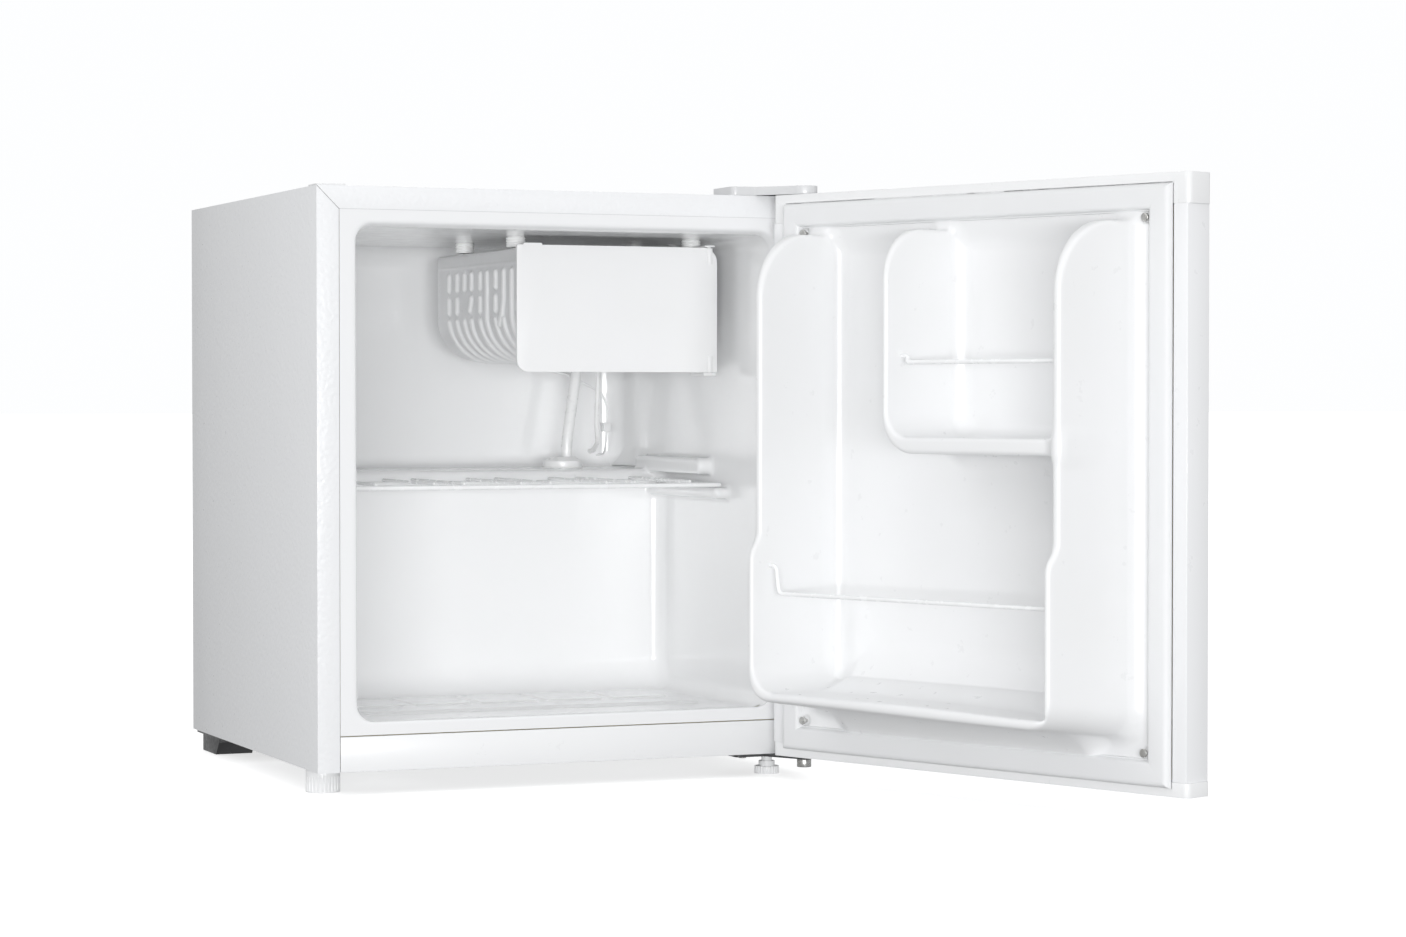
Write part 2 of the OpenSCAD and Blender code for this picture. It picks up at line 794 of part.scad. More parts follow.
module compressor_bolts() {
    color([0.7, 0.7, 0.68]) from_front()
        for (p = comp_mounts()) translate([p[0], p[1], 0]) {
            translate([0, 0, base_z]) cylinder(r = 3, h = comp_z + 6.5 - base_z);
            translate([0, 0, base_z - 4]) cylinder(r = 5.5, h = 4, $fn = 6);
            translate([0, 0, comp_z + 3]) cylinder(r = 6, h = 4, $fn = 6);
        }
}

terminal_x = comp_x + comp_r - 4;

module terminal_cover() {
    color([0.12, 0.12, 0.13]) from_front() difference() {
        block([terminal_x, comp_y - 24, comp_z + 22], [terminal_x + 34, comp_y + 26, comp_z + 76]);
        block([terminal_x - 1, comp_y - 22, comp_z + 24], [terminal_x + 32, comp_y + 24, comp_z + 74]);
        translate([comp_x, comp_y, comp_z]) cylinder(r = comp_r + 0.3, h = 90, $fn = 72);
    }
}

module start_relay() {
    color([0.85, 0.85, 0.82]) from_front()
        block([terminal_x + 9, comp_y - 14, comp_z + 32], [terminal_x + 30, comp_y + 16, comp_z + 66]);
}

// ---------- Condenser ----------

// One flat serpentine of straight runs and half-circle ends
module condenser_tube() {
    color([0.08, 0.08, 0.09]) from_front() {
        for (i = [0:cond_runs - 1])
            rod([-cond_x, cond_y, cond_z0 + i * cond_pitch], [cond_x, cond_y, cond_z0 + i * cond_pitch], cond_r);
        for (i = [0:cond_runs - 2]) {
            side = i % 2 == 0 ? 1 : -1;
            translate([side * cond_x, cond_y, cond_z0 + (i + 0.5) * cond_pitch])
                rotate([90, 0, 0]) rotate([0, 0, side > 0 ? -90 : 90])
                rotate_extrude(angle = 180) translate([cond_pitch / 2, 0]) circle(r = cond_r);
        }
    }
}

module condenser_wires() {
    z0 = cond_z0 - 8;
    z1 = cond_z0 + (cond_runs - 1) * cond_pitch + 8;
    out = cond_r + wire_r + 0.02;
    color([0.08, 0.08, 0.09]) from_front()
        for (i = [0:cond_wires - 1]) for (side = [-1, 1]) {
            x = -cond_x + 6 + i * (2 * cond_x - 12) / (cond_wires - 1);
            rod([x, cond_y + side * out, z0], [x, cond_y + side * out, z1], wire_r);
        }
}

// Stand-offs between the back panel and the condenser's ends
module condenser_brackets() {
    color([0.1, 0.1, 0.1]) from_front()
        for (x = [-cond_x + 2, cond_x - 2]) for (i = [1, cond_runs - 2]) {
            z = cond_z0 + i * cond_pitch;
            difference() {
                block([x - 2, cab_d - sheet, z - 6], [x + 2, cond_y + cond_r + 2.5, z + 6]);
                rod([x - 4, cond_y, z], [x + 4, cond_y, z], cond_r + 0.02);
            }
        }
}

// Drier with the pipe that comes to it from the condenser's lower end
module filter_drier() {
    color([0.72, 0.42, 0.26]) from_front() {
        translate([-150, 376, 80])
            rotate_extrude() polygon([[0, 0], [2.2, 0], [2.6, 8], [9, 16], [9, 74], [2.6, 82], [2.3, 90], [0, 90]]);
        bent_tube([
            [-150, 376, 165], [-150, 376, 190], [-cond_x - 15, cond_y, 225],
            [-cond_x - 15, cond_y, cond_z0], [-cond_x - 0.1, cond_y, cond_z0]
        ], 2);
    }
}

// A point on a circle about the compressor's axis
function round_pot(a, r, z) = [comp_x + r * cos(a), comp_y + r * sin(a), z];

module discharge_tube() {
    top = cond_z0 + (cond_runs - 1) * cond_pitch;
    color([0.72, 0.42, 0.26]) from_front()
        bent_tube([
            round_pot(53, comp_r + 0.3, 94), round_pot(53, comp_r + 13, 94), [196, 396, 120],
            [196, cond_y, 190], [196, cond_y, top], [cond_x + 0.1, cond_y, top]
        ], 2.2);
}

module suction_tube() {
    color([0.72, 0.42, 0.26]) from_front()
        bent_tube([
            [grommet_x, grommet_y, step_z + 4.8], [grommet_x, grommet_y, 175],
            round_pot(-31, comp_r + 18, 140), round_pot(-31, comp_r - 1.6, 140)
        ], pipe_r);
}

module process_tube() {
    color([0.72, 0.42, 0.26]) from_front()
        bent_tube([
            round_pot(112, comp_r + 0.3, 74), round_pot(112, comp_r + 8, 74), round_pot(112, comp_r + 8, 106)
        ], 2.2);
}

// Dish on the compressor that defrost water dries out of
module evaporation_tray() {
    z = comp_z + comp_h;
    color([0.2, 0.2, 0.21]) from_front() difference() {
        block([comp_x - 56, comp_y - 44, z], [comp_x + 50, comp_y + 46, z + 20]);
        block([comp_x - 53.5, comp_y - 41.5, z + 2.5], [comp_x + 47.5, comp_y + 43.5, z + 21]);
    }
}

// ---------- Electrics at the rear ----------

module thermostat_housing() {
    color([0.13, 0.13, 0.14]) from_front() difference() {
        block([knob_x - 28, cab_d - 40, bay_z - 56], [knob_x + 28, cab_d, bay_z]);
        block([knob_x - 25.5, cab_d - 37.5, bay_z - 53.5], [knob_x + 25.5, cab_d - 3, bay_z - 2.5]);
        translate([knob_x, cab_d - 5, knob_z]) rotate([-90, 0, 0]) cylinder(r = 3 + running, h = 10);
    }
}

module thermostat_knob() {
    color([0.9, 0.9, 0.89]) from_front() translate([knob_x, cab_d, knob_z]) rotate([-90, 0, 0]) {
        translate([0, 0, -16]) cylinder(r = 3, h = 17);
        difference() {
            translate([0, 0, 0.5]) cylinder(r = knob_r, h = 11);
            for (i = [0:17]) rotate([0, 0, 20 * i]) translate([knob_r + 0.6, 0, 2]) cylinder(r = 1.4, h = 11);
            translate([-0.8, -knob_r, 10.4]) cube([1.6, knob_r - 4, 2]);
        }
    }
}

module cord_gland() {
    color([0.05, 0.05, 0.05]) from_front() translate([-120, 394.5, foot_h + 20]) rotate([-90, 0, 0])
        difference() {
            union() {
                translate([0, 0, -4.5]) cylinder(r = 9.5, h = 3);
                translate([0, 0, -2]) cylinder(r = 6.9, h = 5);
                translate([0, 0, 1.6]) cylinder(r = 9.5, h = 3);
            }
            translate([0, 0, -10]) cylinder(r = 3.6, h = 20);
        }
}

// ---------- Door ----------

module door_panel() {
    x = half_w;
    color([0.92, 0.92, 0.9]) on_door() difference() {
        block([-x, door_front, cap_low_z], [x, door_in, cap_top_z]);
        block([-x + sheet, door_front + sheet, 0], [x - sheet, door_in - sheet, top_z]);
        block([-x + door_flange, door_in - 2 * sheet, 0], [x - door_flange, door_in + 1, top_z]);
    }
}

// Plan of an end cap, which stands a little proud of the panel
module cap_plan() {
    p = cap_proud;
    polygon(round_rect(-half_w - p, door_front - p, half_w + p, door_in, 5));
}

// Space inside a cap, which the foam fills
module cap_pocket(z0, z1) block([-half_w + 3, door_front + 3, z0], [half_w - 3, door_in - 3, z1]);

module door_top_cap() {
    color([0.95, 0.95, 0.94]) on_door() difference() {
        translate([0, 0, cap_top_z]) linear_extrude(door_z1 - cap_top_z) cap_plan();
        cap_pocket(0, door_z1 - 3);
        block([-gasket_x - 0.5, skin, 0], [gasket_x + 0.5, 0, gasket_z1]);
        translate([pivot_x, pivot_y, 0]) cylinder(r = bush_r, h = top_z);
    }
}

module door_bottom_cap() {
    color([0.95, 0.95, 0.94]) on_door() difference() {
        translate([0, 0, door_z0]) linear_extrude(cap_low_z - door_z0) cap_plan();
        cap_pocket(door_z0 + 3, top_z);
        block([-gasket_x - 0.5, skin, gasket_z0], [gasket_x + 0.5, 0, top_z]);
        translate([pivot_x, pivot_y, 0]) cylinder(r = bush_r, h = top_z);
    }
}

// Plan of one side ridge, grown outwards by g; it tapers to a round crest
function ridge_plan(c, g) = concat(
    [[tray_x - 2.5 - g, tray_y - 4], [ridge_x - ridge_half - g, c - ridge_half]],
    arc(ridge_x, c - ridge_half, ridge_half + g, 180, 0),
    [[ridge_base + g, door_in + 3], [ridge_base + g, tray_y - 4]]
);

// Side view of a ridge, grown outwards by g: round at the top, deeper beside the lower rack
function ridge_side(g) = concat(
    [[tray_y - 4, tray_z1 + g]],
    arc(ridge_c - ridge_top_r, tray_z1 - ridge_top_r, ridge_top_r + g, 90, 0, 10),
    [[ridge_c + g, 213], [ridge_low + g, 197]],
    arc(ridge_low - 15, 93, 15 + g, 0, -90, 5),
    [[tray_y - 4, 62 - g]]
);

// The two side ridges
module side_ridges(g) {
    for (side = [0, 1]) mirror([side, 0, 0])
        intersection() {
            along_x(ridge_x - 20, ridge_base + 9) polygon(ridge_side(g));
            union() {
                translate([0, 0, 205]) linear_extrude(300) polygon(ridge_plan(ridge_c, g));
                linear_extrude(205.01) polygon(ridge_plan(ridge_low, g));
            }
        }
}

// Side view of the divider beside the small bin, grown outwards by g
function divider_side(g) = concat(
    [[tray_y - 4, tray_z1 - 1 + g]],
    arc(bin_c - 42, tray_z1 - 43, 42 + g, 90, 0, 8),
    arc(bin_c - 18, bin_z + 4, 18 + g, 0, -90, 5),
    [[tray_y - 4, bin_z - bin_t - g]]
);

// Divider, small bin's floor and the lower rack's floor
module inner_ridges(g) {
    intersection() {
        along_x(bin_x - 14, bin_x + 14) polygon(divider_side(g));
        linear_extrude(top_z) polygon(concat(
            [[bin_x - 11 - g, tray_y - 4]],
            arc(bin_x, bin_c - 3, 3 + g, 180, 0),
            [[bin_x + 9 + g, tray_y - 4]]
        ));
    }
    intersection() {
        along_x(-ridge_x, bin_x - 4) polygon(concat(
            [[tray_y - 4, bin_z + 3 + g]],
            arc(bin_c - 4, bin_z - 4, 4 + g, 90, -90),
            [[tray_y - 4, bin_z - bin_t - g]]
        ));
        block([-ridge_x, -40, 0], [bin_x, 200, top_z]);
    }
    along_x(-ridge_x, ridge_x) polygon(concat(
        [[tray_y - 4, 86 + g], [ridge_low - 6, 86 + g]],
        arc(ridge_low - 6, 82, 4 + g, 90, 0, 3),
        arc(ridge_low - 6, 82, 4 + g, 0, -90, 3),
        [[tray_y - 4, 62 - g]]
    ));
}

// All that stands up from the door's flange, grown outwards by g
module ridges(g) {
    side_ridges(g);
    inner_ridges(g);
}

// Ends of the rail wires, as holes in the ridges
module rail_holes(r) {
    x = ridge_x - 6;
    rod([-x - 6, low_rail_y, low_rail_z], [-x + 5, low_rail_y, low_rail_z], r);
    rod([x - 5, low_rail_y, low_rail_z], [x + 6, low_rail_y, low_rail_z], r);
    rod([-x - 5, up_rail_y, up_rail_z], [-x + 5, up_rail_y, up_rail_z], r);
    rod([bin_x - 12, up_rail_y, up_rail_z], [bin_x + 1, up_rail_y, up_rail_z], r);
}

// Screw places of the liner: [x, z]
liner_screws = [for (sx = [-1, 1]) for (z = [52, 463.5]) [sx * 182, z]];

module door_liner() {
    t = liner_t;
    color([0.96, 0.96, 0.95]) on_door() difference() {
        union() {
            block([-gasket_x, skin, gasket_z0], [gasket_x, door_in, gasket_z1]);
            block([-tray_x - t, tray_y - t, tray_z0 - t], [tray_x + t, door_in, tray_z1 + t]);
            intersection() {
                ridges(0);
                union() {
                    block([-half_w, skin, 0], [half_w, 200, top_z]);
                    block([-tray_x - t, tray_y - t, tray_z0 - t], [tray_x + t, 9, tray_z1 + t]);
                }
            }
        }
        difference() {
            block([-tray_x, tray_y, tray_z0], [tray_x, door_in + 1, tray_z1]);
            ridges(0);
        }
        intersection() {
            ridges(-t);
            block([-half_w, tray_y - 9, 0], [half_w, 200, top_z]);
        }
        rail_holes(rail_r + running);
        for (p = liner_screws) translate([p[0], -20, p[1]]) rotate([-90, 0, 0]) cylinder(r = 1.8, h = 30);
    }
}

module door_foam() {
    t = liner_t;
    color([0.93, 0.88, 0.66]) on_door() difference() {
        union() {
            difference() {
                union() {
                    block([-half_w + sheet, door_front + sheet, cap_low_z], [half_w - sheet, skin, cap_top_z]);
                    cap_pocket(door_z0 + 3, door_z1 - 3);
                }
                block([-half_w, door_in - sheet - 1, 0], [half_w, 9, top_z]);
                block([-tray_x - t, tray_y - t, tray_z0 - t], [tray_x + t, 9, tray_z1 + t]);
            }
            intersection() {
                ridges(-t);
                block([-half_w, tray_y - t, 0], [half_w, 200, top_z]);
            }
        }
        rail_holes(rail_r + 0.4);
        translate([pivot_x, pivot_y, 0]) cylinder(r = bush_r, h = door_z0 + 17);
        translate([pivot_x, pivot_y, door_z1 - 18]) cylinder(r = bush_r, h = 30);
        for (p = liner_screws) translate([p[0], -20, p[1]]) rotate([-90, 0, 0]) cylinder(r = 1.5, h = 30);
    }
}

// Flat ring of soft plastic with a hollow for the magnet strips
module door_gasket() {
    color([0.93, 0.93, 0.92]) on_door() difference() {
        block([-gasket_x, door_in, gasket_z0], [gasket_x, gasket_y, gasket_z1]);
        block([-gasket_in_x, door_in - 1, gasket_in_z0], [gasket_in_x, 1, gasket_in_z1]);
        magnet_ring(0);
        for (p = liner_screws) translate([p[0], -20, p[1]]) rotate([-90, 0, 0]) cylinder(r = 1.8, h = 30);
        for (p = liner_screws) translate([p[0], door_in + 3, p[1]]) rotate([-90, 0, 0]) cylinder(r = 3.8, h = 9);
    }
}

// Strips along the four sides of the gasket
module magnet_ring(g) {
    x = gasket_x - 12;
    z0 = gasket_z0 + 9;
    z1 = gasket_z1 - 9;
    for (side = [-1, 1]) block([side * x - 3, door_in + 2, z0 + 8], [side * x + 3, door_in + 4.5, z1 - 8]);
    for (z = [z0, z1]) block([-x + 8, door_in + 2, z - 3], [x - 8, door_in + 4.5, z + 3]);
}

module gasket_magnets() {
    color([0.2, 0.2, 0.2]) on_door() magnet_ring(0);
}

module door_screws() {
    color([0.7, 0.7, 0.7]) on_door()
        for (p = liner_screws) translate([p[0], 0, p[1]]) rotate([-90, 0, 0]) {
            translate([0, 0, -19]) cylinder(r = 1.5, h = 15);
            translate([0, 0, door_in + 3]) cylinder(r = 3.4, h = 2);
        }
}

// Plastic sleeves in the door that turn on the two pins
module door_bushes() {
    color([0.9, 0.9, 0.88]) on_door() translate([pivot_x, pivot_y, 0])
        for (z = [door_z0, door_z1 - 17]) translate([0, 0, z]) difference() {
            cylinder(r = bush_r, h = 17);
            translate([0, 0, -1]) cylinder(r = pin_r + running, h = 19);
        }
}

module upper_rail() {
    y = up_rail_y;
    z = up_rail_z;
    x = ridge_x - 5;
    color([0.9, 0.91, 0.91]) on_door()
        bent_tube([
            [bin_x - 2, y, z], [bin_x - 14, y, z], [bin_x - 17, y + 5, z - 5],
            [-x + 9, y + 5, z - 5], [-x + 6, y, z], [-x - 4, y, z]
        ], rail_r);
}

module lower_rail() {
    y = low_rail_y;
    z = low_rail_z;
    x = ridge_x - 6;
    color([0.9, 0.91, 0.91]) on_door()
        bent_tube([
            [x + 5, y, z], [x - 6, y, z], [x - 9, y, z - low_rail_drop],
            [-x + 9, y, z - low_rail_drop], [-x + 6, y, z], [-x - 5, y, z]
        ], rail_r);
}

// ---------- Parts ----------

outer_shell();
front_strip();
inner_liner();
cabinet_foam();
back_panel();
bay_panel();
compressor_base();
blanking_cap();
top_hinge_plate();
top_hinge_cover();
bottom_hinge_plate();
hinge_pins();
hinge_screws();
foot_nuts();
left_front_foot();
right_front_foot();
evaporator();
evaporator_posts();
evaporator_screws();
freezer_back_plate();
flap_lugs();
flap_stop();
freezer_flap();
suction_sleeve();
pipe_grommet();
return_tube();
sensor_capillary();
capillary_clip();
shelf_rails();
shelf_wires();
compressor_shell();
compressor_feet();
compressor_grommets();
compressor_bolts();
terminal_cover();
start_relay();
condenser_tube();
condenser_wires();
condenser_brackets();
filter_drier();
discharge_tube();
suction_tube();
process_tube();
evaporation_tray();
thermostat_housing();
thermostat_knob();
cord_gland();
door_panel();
door_top_cap();
door_bottom_cap();
door_foam();
door_liner();
door_gasket();
gasket_magnets();
door_screws();
door_bushes();
upper_rail();
lower_rail();
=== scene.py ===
import bpy
import bmesh
import json
import math
import numpy as np
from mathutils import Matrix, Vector

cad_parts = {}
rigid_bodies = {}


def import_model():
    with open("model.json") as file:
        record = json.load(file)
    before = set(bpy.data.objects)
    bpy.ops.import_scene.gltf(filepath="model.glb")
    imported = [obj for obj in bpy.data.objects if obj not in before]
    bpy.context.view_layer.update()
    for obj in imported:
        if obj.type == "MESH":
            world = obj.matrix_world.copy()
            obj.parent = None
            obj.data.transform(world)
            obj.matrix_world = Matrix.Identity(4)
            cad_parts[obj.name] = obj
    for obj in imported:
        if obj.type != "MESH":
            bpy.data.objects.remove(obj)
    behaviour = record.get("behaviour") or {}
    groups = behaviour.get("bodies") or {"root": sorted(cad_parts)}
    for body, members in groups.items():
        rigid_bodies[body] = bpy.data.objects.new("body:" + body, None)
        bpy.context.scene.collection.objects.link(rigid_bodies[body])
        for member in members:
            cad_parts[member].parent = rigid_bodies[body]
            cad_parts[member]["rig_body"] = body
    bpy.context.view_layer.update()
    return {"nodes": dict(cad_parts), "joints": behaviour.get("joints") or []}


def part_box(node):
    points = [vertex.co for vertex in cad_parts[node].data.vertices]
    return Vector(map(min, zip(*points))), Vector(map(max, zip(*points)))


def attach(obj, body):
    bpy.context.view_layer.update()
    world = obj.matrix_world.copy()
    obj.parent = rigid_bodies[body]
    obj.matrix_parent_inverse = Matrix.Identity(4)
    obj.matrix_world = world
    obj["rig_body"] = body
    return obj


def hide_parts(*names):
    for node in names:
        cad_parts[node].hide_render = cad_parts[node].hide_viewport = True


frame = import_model()
NODES = frame["nodes"]
MM = 0.001
BEVEL_ABOVE = math.radians(30.0)
FLAT_BELOW = math.radians(0.6)

# The cabinet's front plane and the door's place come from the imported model
SHELL_LO, SHELL_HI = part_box("outer_shell")
FRONT = SHELL_LO.y
HINGE = next(j for j in frame["joints"] if j["name"] == "door_hinge")
DOOR_OPEN = math.radians(-HINGE["range_deg"][0])
PIVOT = Vector(HINGE["pos_m"])
PIVOT.z = 0.0


# ---------------------------------------------------------------- meshes

def at_front(v):
    """Cabinet points in millimetres behind the front plane to the row frame"""
    v = np.asarray(v, float) * MM
    v[:, 1] += FRONT
    return v


def on_door(v):
    """Closed-door points in millimetres to the row frame, with the door as it stands"""
    v = at_front(v)
    d = v - np.array(PIVOT)
    c, s = math.cos(DOOR_OPEN), math.sin(DOOR_OPEN)
    out = np.empty_like(v)
    out[:, 0] = PIVOT.x + d[:, 0] * c - d[:, 1] * s
    out[:, 1] = PIVOT.y + d[:, 0] * s + d[:, 1] * c
    out[:, 2] = v[:, 2]
    return out


def new_object(name, verts, faces, body, material, smooth=35.0):
    me = bpy.data.meshes.new(name)
    verts = np.asarray(verts, np.float32)
    if isinstance(faces, np.ndarray) and faces.ndim == 2:
        count, width = faces.shape
        me.vertices.add(len(verts))
        me.vertices.foreach_set("co", verts.ravel())
        me.loops.add(count * width)
        me.loops.foreach_set("vertex_index", faces.astype(np.int32).ravel())
        me.polygons.add(count)
        me.polygons.foreach_set("loop_start", np.arange(0, count * width, width, dtype=np.int32))
        me.update(calc_edges=True)
        me.validate()
    else:
        me.from_pydata([tuple(map(float, v)) for v in verts], [], [tuple(int(i) for i in f) for f in faces])
        me.update()
    ob = bpy.data.objects.new(name, me)
    bpy.context.scene.collection.objects.link(ob)
    finish_piece(ob, body, material, smooth)
    return ob


def finish_piece(ob, body, material, smooth=35.0):
    me = ob.data
    me.polygons.foreach_set("use_smooth", np.ones(len(me.polygons), bool))
    if smooth < 180:
        me.set_sharp_from_angle(angle=math.radians(smooth))
    me.materials.clear()
    me.materials.append(material)
    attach(ob, body)


def refine(node, material, bevel, segments):
    """A copy of a CAD node with its edges rounded, which stands for it"""
    src = NODES[node]
    bm = bmesh.new()
    bm.from_mesh(src.data)
    bmesh.ops.remove_doubles(bm, verts=bm.verts, dist=2e-6)
    bmesh.ops.dissolve_limit(bm, angle_limit=FLAT_BELOW, verts=bm.verts, edges=bm.edges)
    if bevel:
        edges = [e for e in bm.edges if len(e.link_faces) == 2
                 and e.calc_face_angle(0) > BEVEL_ABOVE]
        bmesh.ops.bevel(bm, geom=edges, offset=bevel * MM, offset_type="OFFSET", segments=segments,
                        profile=0.5, affect="EDGES", clamp_overlap=True, harden_normals=False)
    bmesh.ops.triangulate(bm, faces=[f for f in bm.faces if len(f.verts) > 4])
    me = bpy.data.meshes.new(node + "_fine")
    bm.to_mesh(me)
    bm.free()
    ob = bpy.data.objects.new(node + "_fine", me)
    bpy.context.scene.collection.objects.link(ob)
    finish_piece(ob, src["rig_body"], material)
    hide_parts(node)
    return ob


# Distance fields: negative inside. r may be an array.

def join(a, b, r):
    """Union with a hollow fillet of radius r"""
    return np.maximum(r, np.minimum(a, b)) - np.hypot(np.maximum(r - a, 0), np.maximum(r - b, 0))


def meet(a, b, r):
    """Intersection with a round edge of radius r"""
    return np.minimum(-r, np.maximum(a, b)) + np.hypot(np.maximum(r + a, 0), np.maximum(r + b, 0))


def ramp(x, a, b):
    """0 at a, 1 at b, smooth between"""
    t = np.clip((x - a) / (b - a), 0, 1)
    return t * t * (3 - 2 * t)


def nets(field, lo, hi, h):
    """Quads on the surface where field is 0, from a grid of step h over the box lo to hi"""
    n = [int(math.ceil((hi[i] - lo[i]) / h)) + 1 for i in range(3)]
    ax = [(lo[i] + h * np.arange(n[i])).astype(np.float32) for i in range(3)]
    f = field(ax[0][:, None, None], ax[1][None, :, None], ax[2][None, None, :])
    f = np.broadcast_to(f, n).astype(np.float32)
    ins = f < 0
    c = np.zeros([k - 1 for k in n], np.int8)
    for dx in (0, 1):
        for dy in (0, 1):
            for dz in (0, 1):
                c += ins[dx:n[0] - 1 + dx, dy:n[1] - 1 + dy, dz:n[2] - 1 + dz]
    cells = np.argwhere((c > 0) & (c < 8))
    index = np.full([k - 1 for k in n], -1, np.int32)
    index[tuple(cells.T)] = np.arange(len(cells))
    total = np.zeros((len(cells), 3), np.float64)
    count = np.zeros(len(cells))
    for axis in range(3):
        u, v = (axis + 1) % 3, (axis + 2) % 3
        for du in (0, 1):
            for dv in (0, 1):
                a = np.zeros(3, int)
                a[u], a[v] = du, dv
                b = a.copy()
                b[axis] = 1
                fa = f[tuple((cells + a).T)].astype(np.float64)
                fb = f[tuple((cells + b).T)].astype(np.float64)
                hit = (fa < 0) != (fb < 0)
                t = np.where(hit, fa / np.where(hit, fa - fb, 1), 0)
                p = cells + a + t[:, None] * (b - a)
                total += p * hit[:, None]
                count += hit
    verts = total / count[:, None] * h + np.array(lo)
    quads = []
    for axis in range(3):
        u, v = (axis + 1) % 3, (axis + 2) % 3
        s0 = [slice(1, -1)] * 3
        s0[axis] = slice(0, -1)
        s1 = list(s0)
        s1[axis] = slice(1, None)
        a, b = ins[tuple(s0)], ins[tuple(s1)]
        for flip in (False, True):
            e = np.argwhere((a & ~b) if not flip else (~a & b))
            if not len(e):
                continue
            base = e.copy()
            base[:, u] += 1
            base[:, v] += 1
            ring = []
            for du, dv in ((-1, -1), (0, -1), (0, 0), (-1, 0)):
                q = base.copy()
                q[:, u] += du
                q[:, v] += dv
                ring.append(index[tuple(q.T)])
            ring = np.array(ring if not flip else ring[::-1]).T
            quads.append(ring)
    quads = np.concatenate(quads)
    quads = quads[(quads >= 0).all(1)]
    for _ in range(2):
        x, y, z = verts.T
        g = np.stack([field(x + 0.05, y, z) - field(x - 0.05, y, z),
                      field(x, y + 0.05, z) - field(x, y - 0.05, z),
                      field(x, y, z + 0.05) - field(x, y, z - 0.05)], 1) / 0.1
        k = field(x, y, z) / np.maximum((g * g).sum(1), 0.2)
        verts = verts - np.clip(k[:, None] * g, -0.5 * h, 0.5 * h)
    return verts, quads


def tube(name, runs, r, body, material, place=at_front, bend=None, sides=16):
    """Wires of radius r, each through a run of points in millimetres, with round bends and round ends"""
    allv, allf = [], []
    for pts in runs:
        pts = [Vector(p) for p in pts]
        path = [pts[0]]
        for i in range(1, len(pts) - 1):
            a, b, c = pts[i - 1], pts[i], pts[i + 1]
            u, v = (a - b).normalized(), (c - b).normalized()
            cut = min(bend or 2.2 * r, 0.45 * (a - b).length, 0.45 * (c - b).length)
            p, q = b + u * cut, b + v * cut
            for k in range(9):
                t = k / 8
                path.append(p * (1 - t) ** 2 + b * 2 * t * (1 - t) + q * t * t)
        path.append(pts[-1])
        first = (path[1] - path[0]).normalized()
        side = first.orthogonal().normalized()
        rings, last = [], first
        for i, p in enumerate(path):
            d = (path[min(i + 1, len(path) - 1)] - path[max(i - 1, 0)]).normalized()
            side = (last.rotation_difference(d) @ side).normalized()
            last = d
            rings.append((p, d, side, r))
        p, d, s, _ = rings[0]
        head = [(p + d * (r - r * math.cos(t)), d, s, r * math.sin(t)) for t in (0.25, 0.7, 1.15)]
        p, d, s, _ = rings[-1]
        tail = [(p - d * (r - r * math.cos(t)), d, s, r * math.sin(t)) for t in (1.15, 0.7, 0.25)]
        rings[0] = (rings[0][0] + rings[0][1] * r, *rings[0][1:])
        rings[-1] = (rings[-1][0] - rings[-1][1] * r, *rings[-1][1:])
        rings = head + rings + tail
        base = len(allv)
        for p, d, s, rad in rings:
            w = d.cross(s)
            for k in range(sides):
                a = 2 * math.pi * k / sides
                allv.append(p + (s * math.cos(a) + w * math.sin(a)) * rad)
        for i in range(len(rings) - 1):
            for k in range(sides):
                m = (k + 1) % sides
                allf.append((base + i * sides + k, base + i * sides + m,
                             base + (i + 1) * sides + m, base + (i + 1) * sides + k))
        allf.append(tuple(base + k for k in reversed(range(sides))))
        allf.append(tuple(base + (len(rings) - 1) * sides + k for k in range(sides)))
    return new_object(name, place(np.array([tuple(v) for v in allv])), allf, body, material, 60)


# ---------------------------------------------------------------- materials

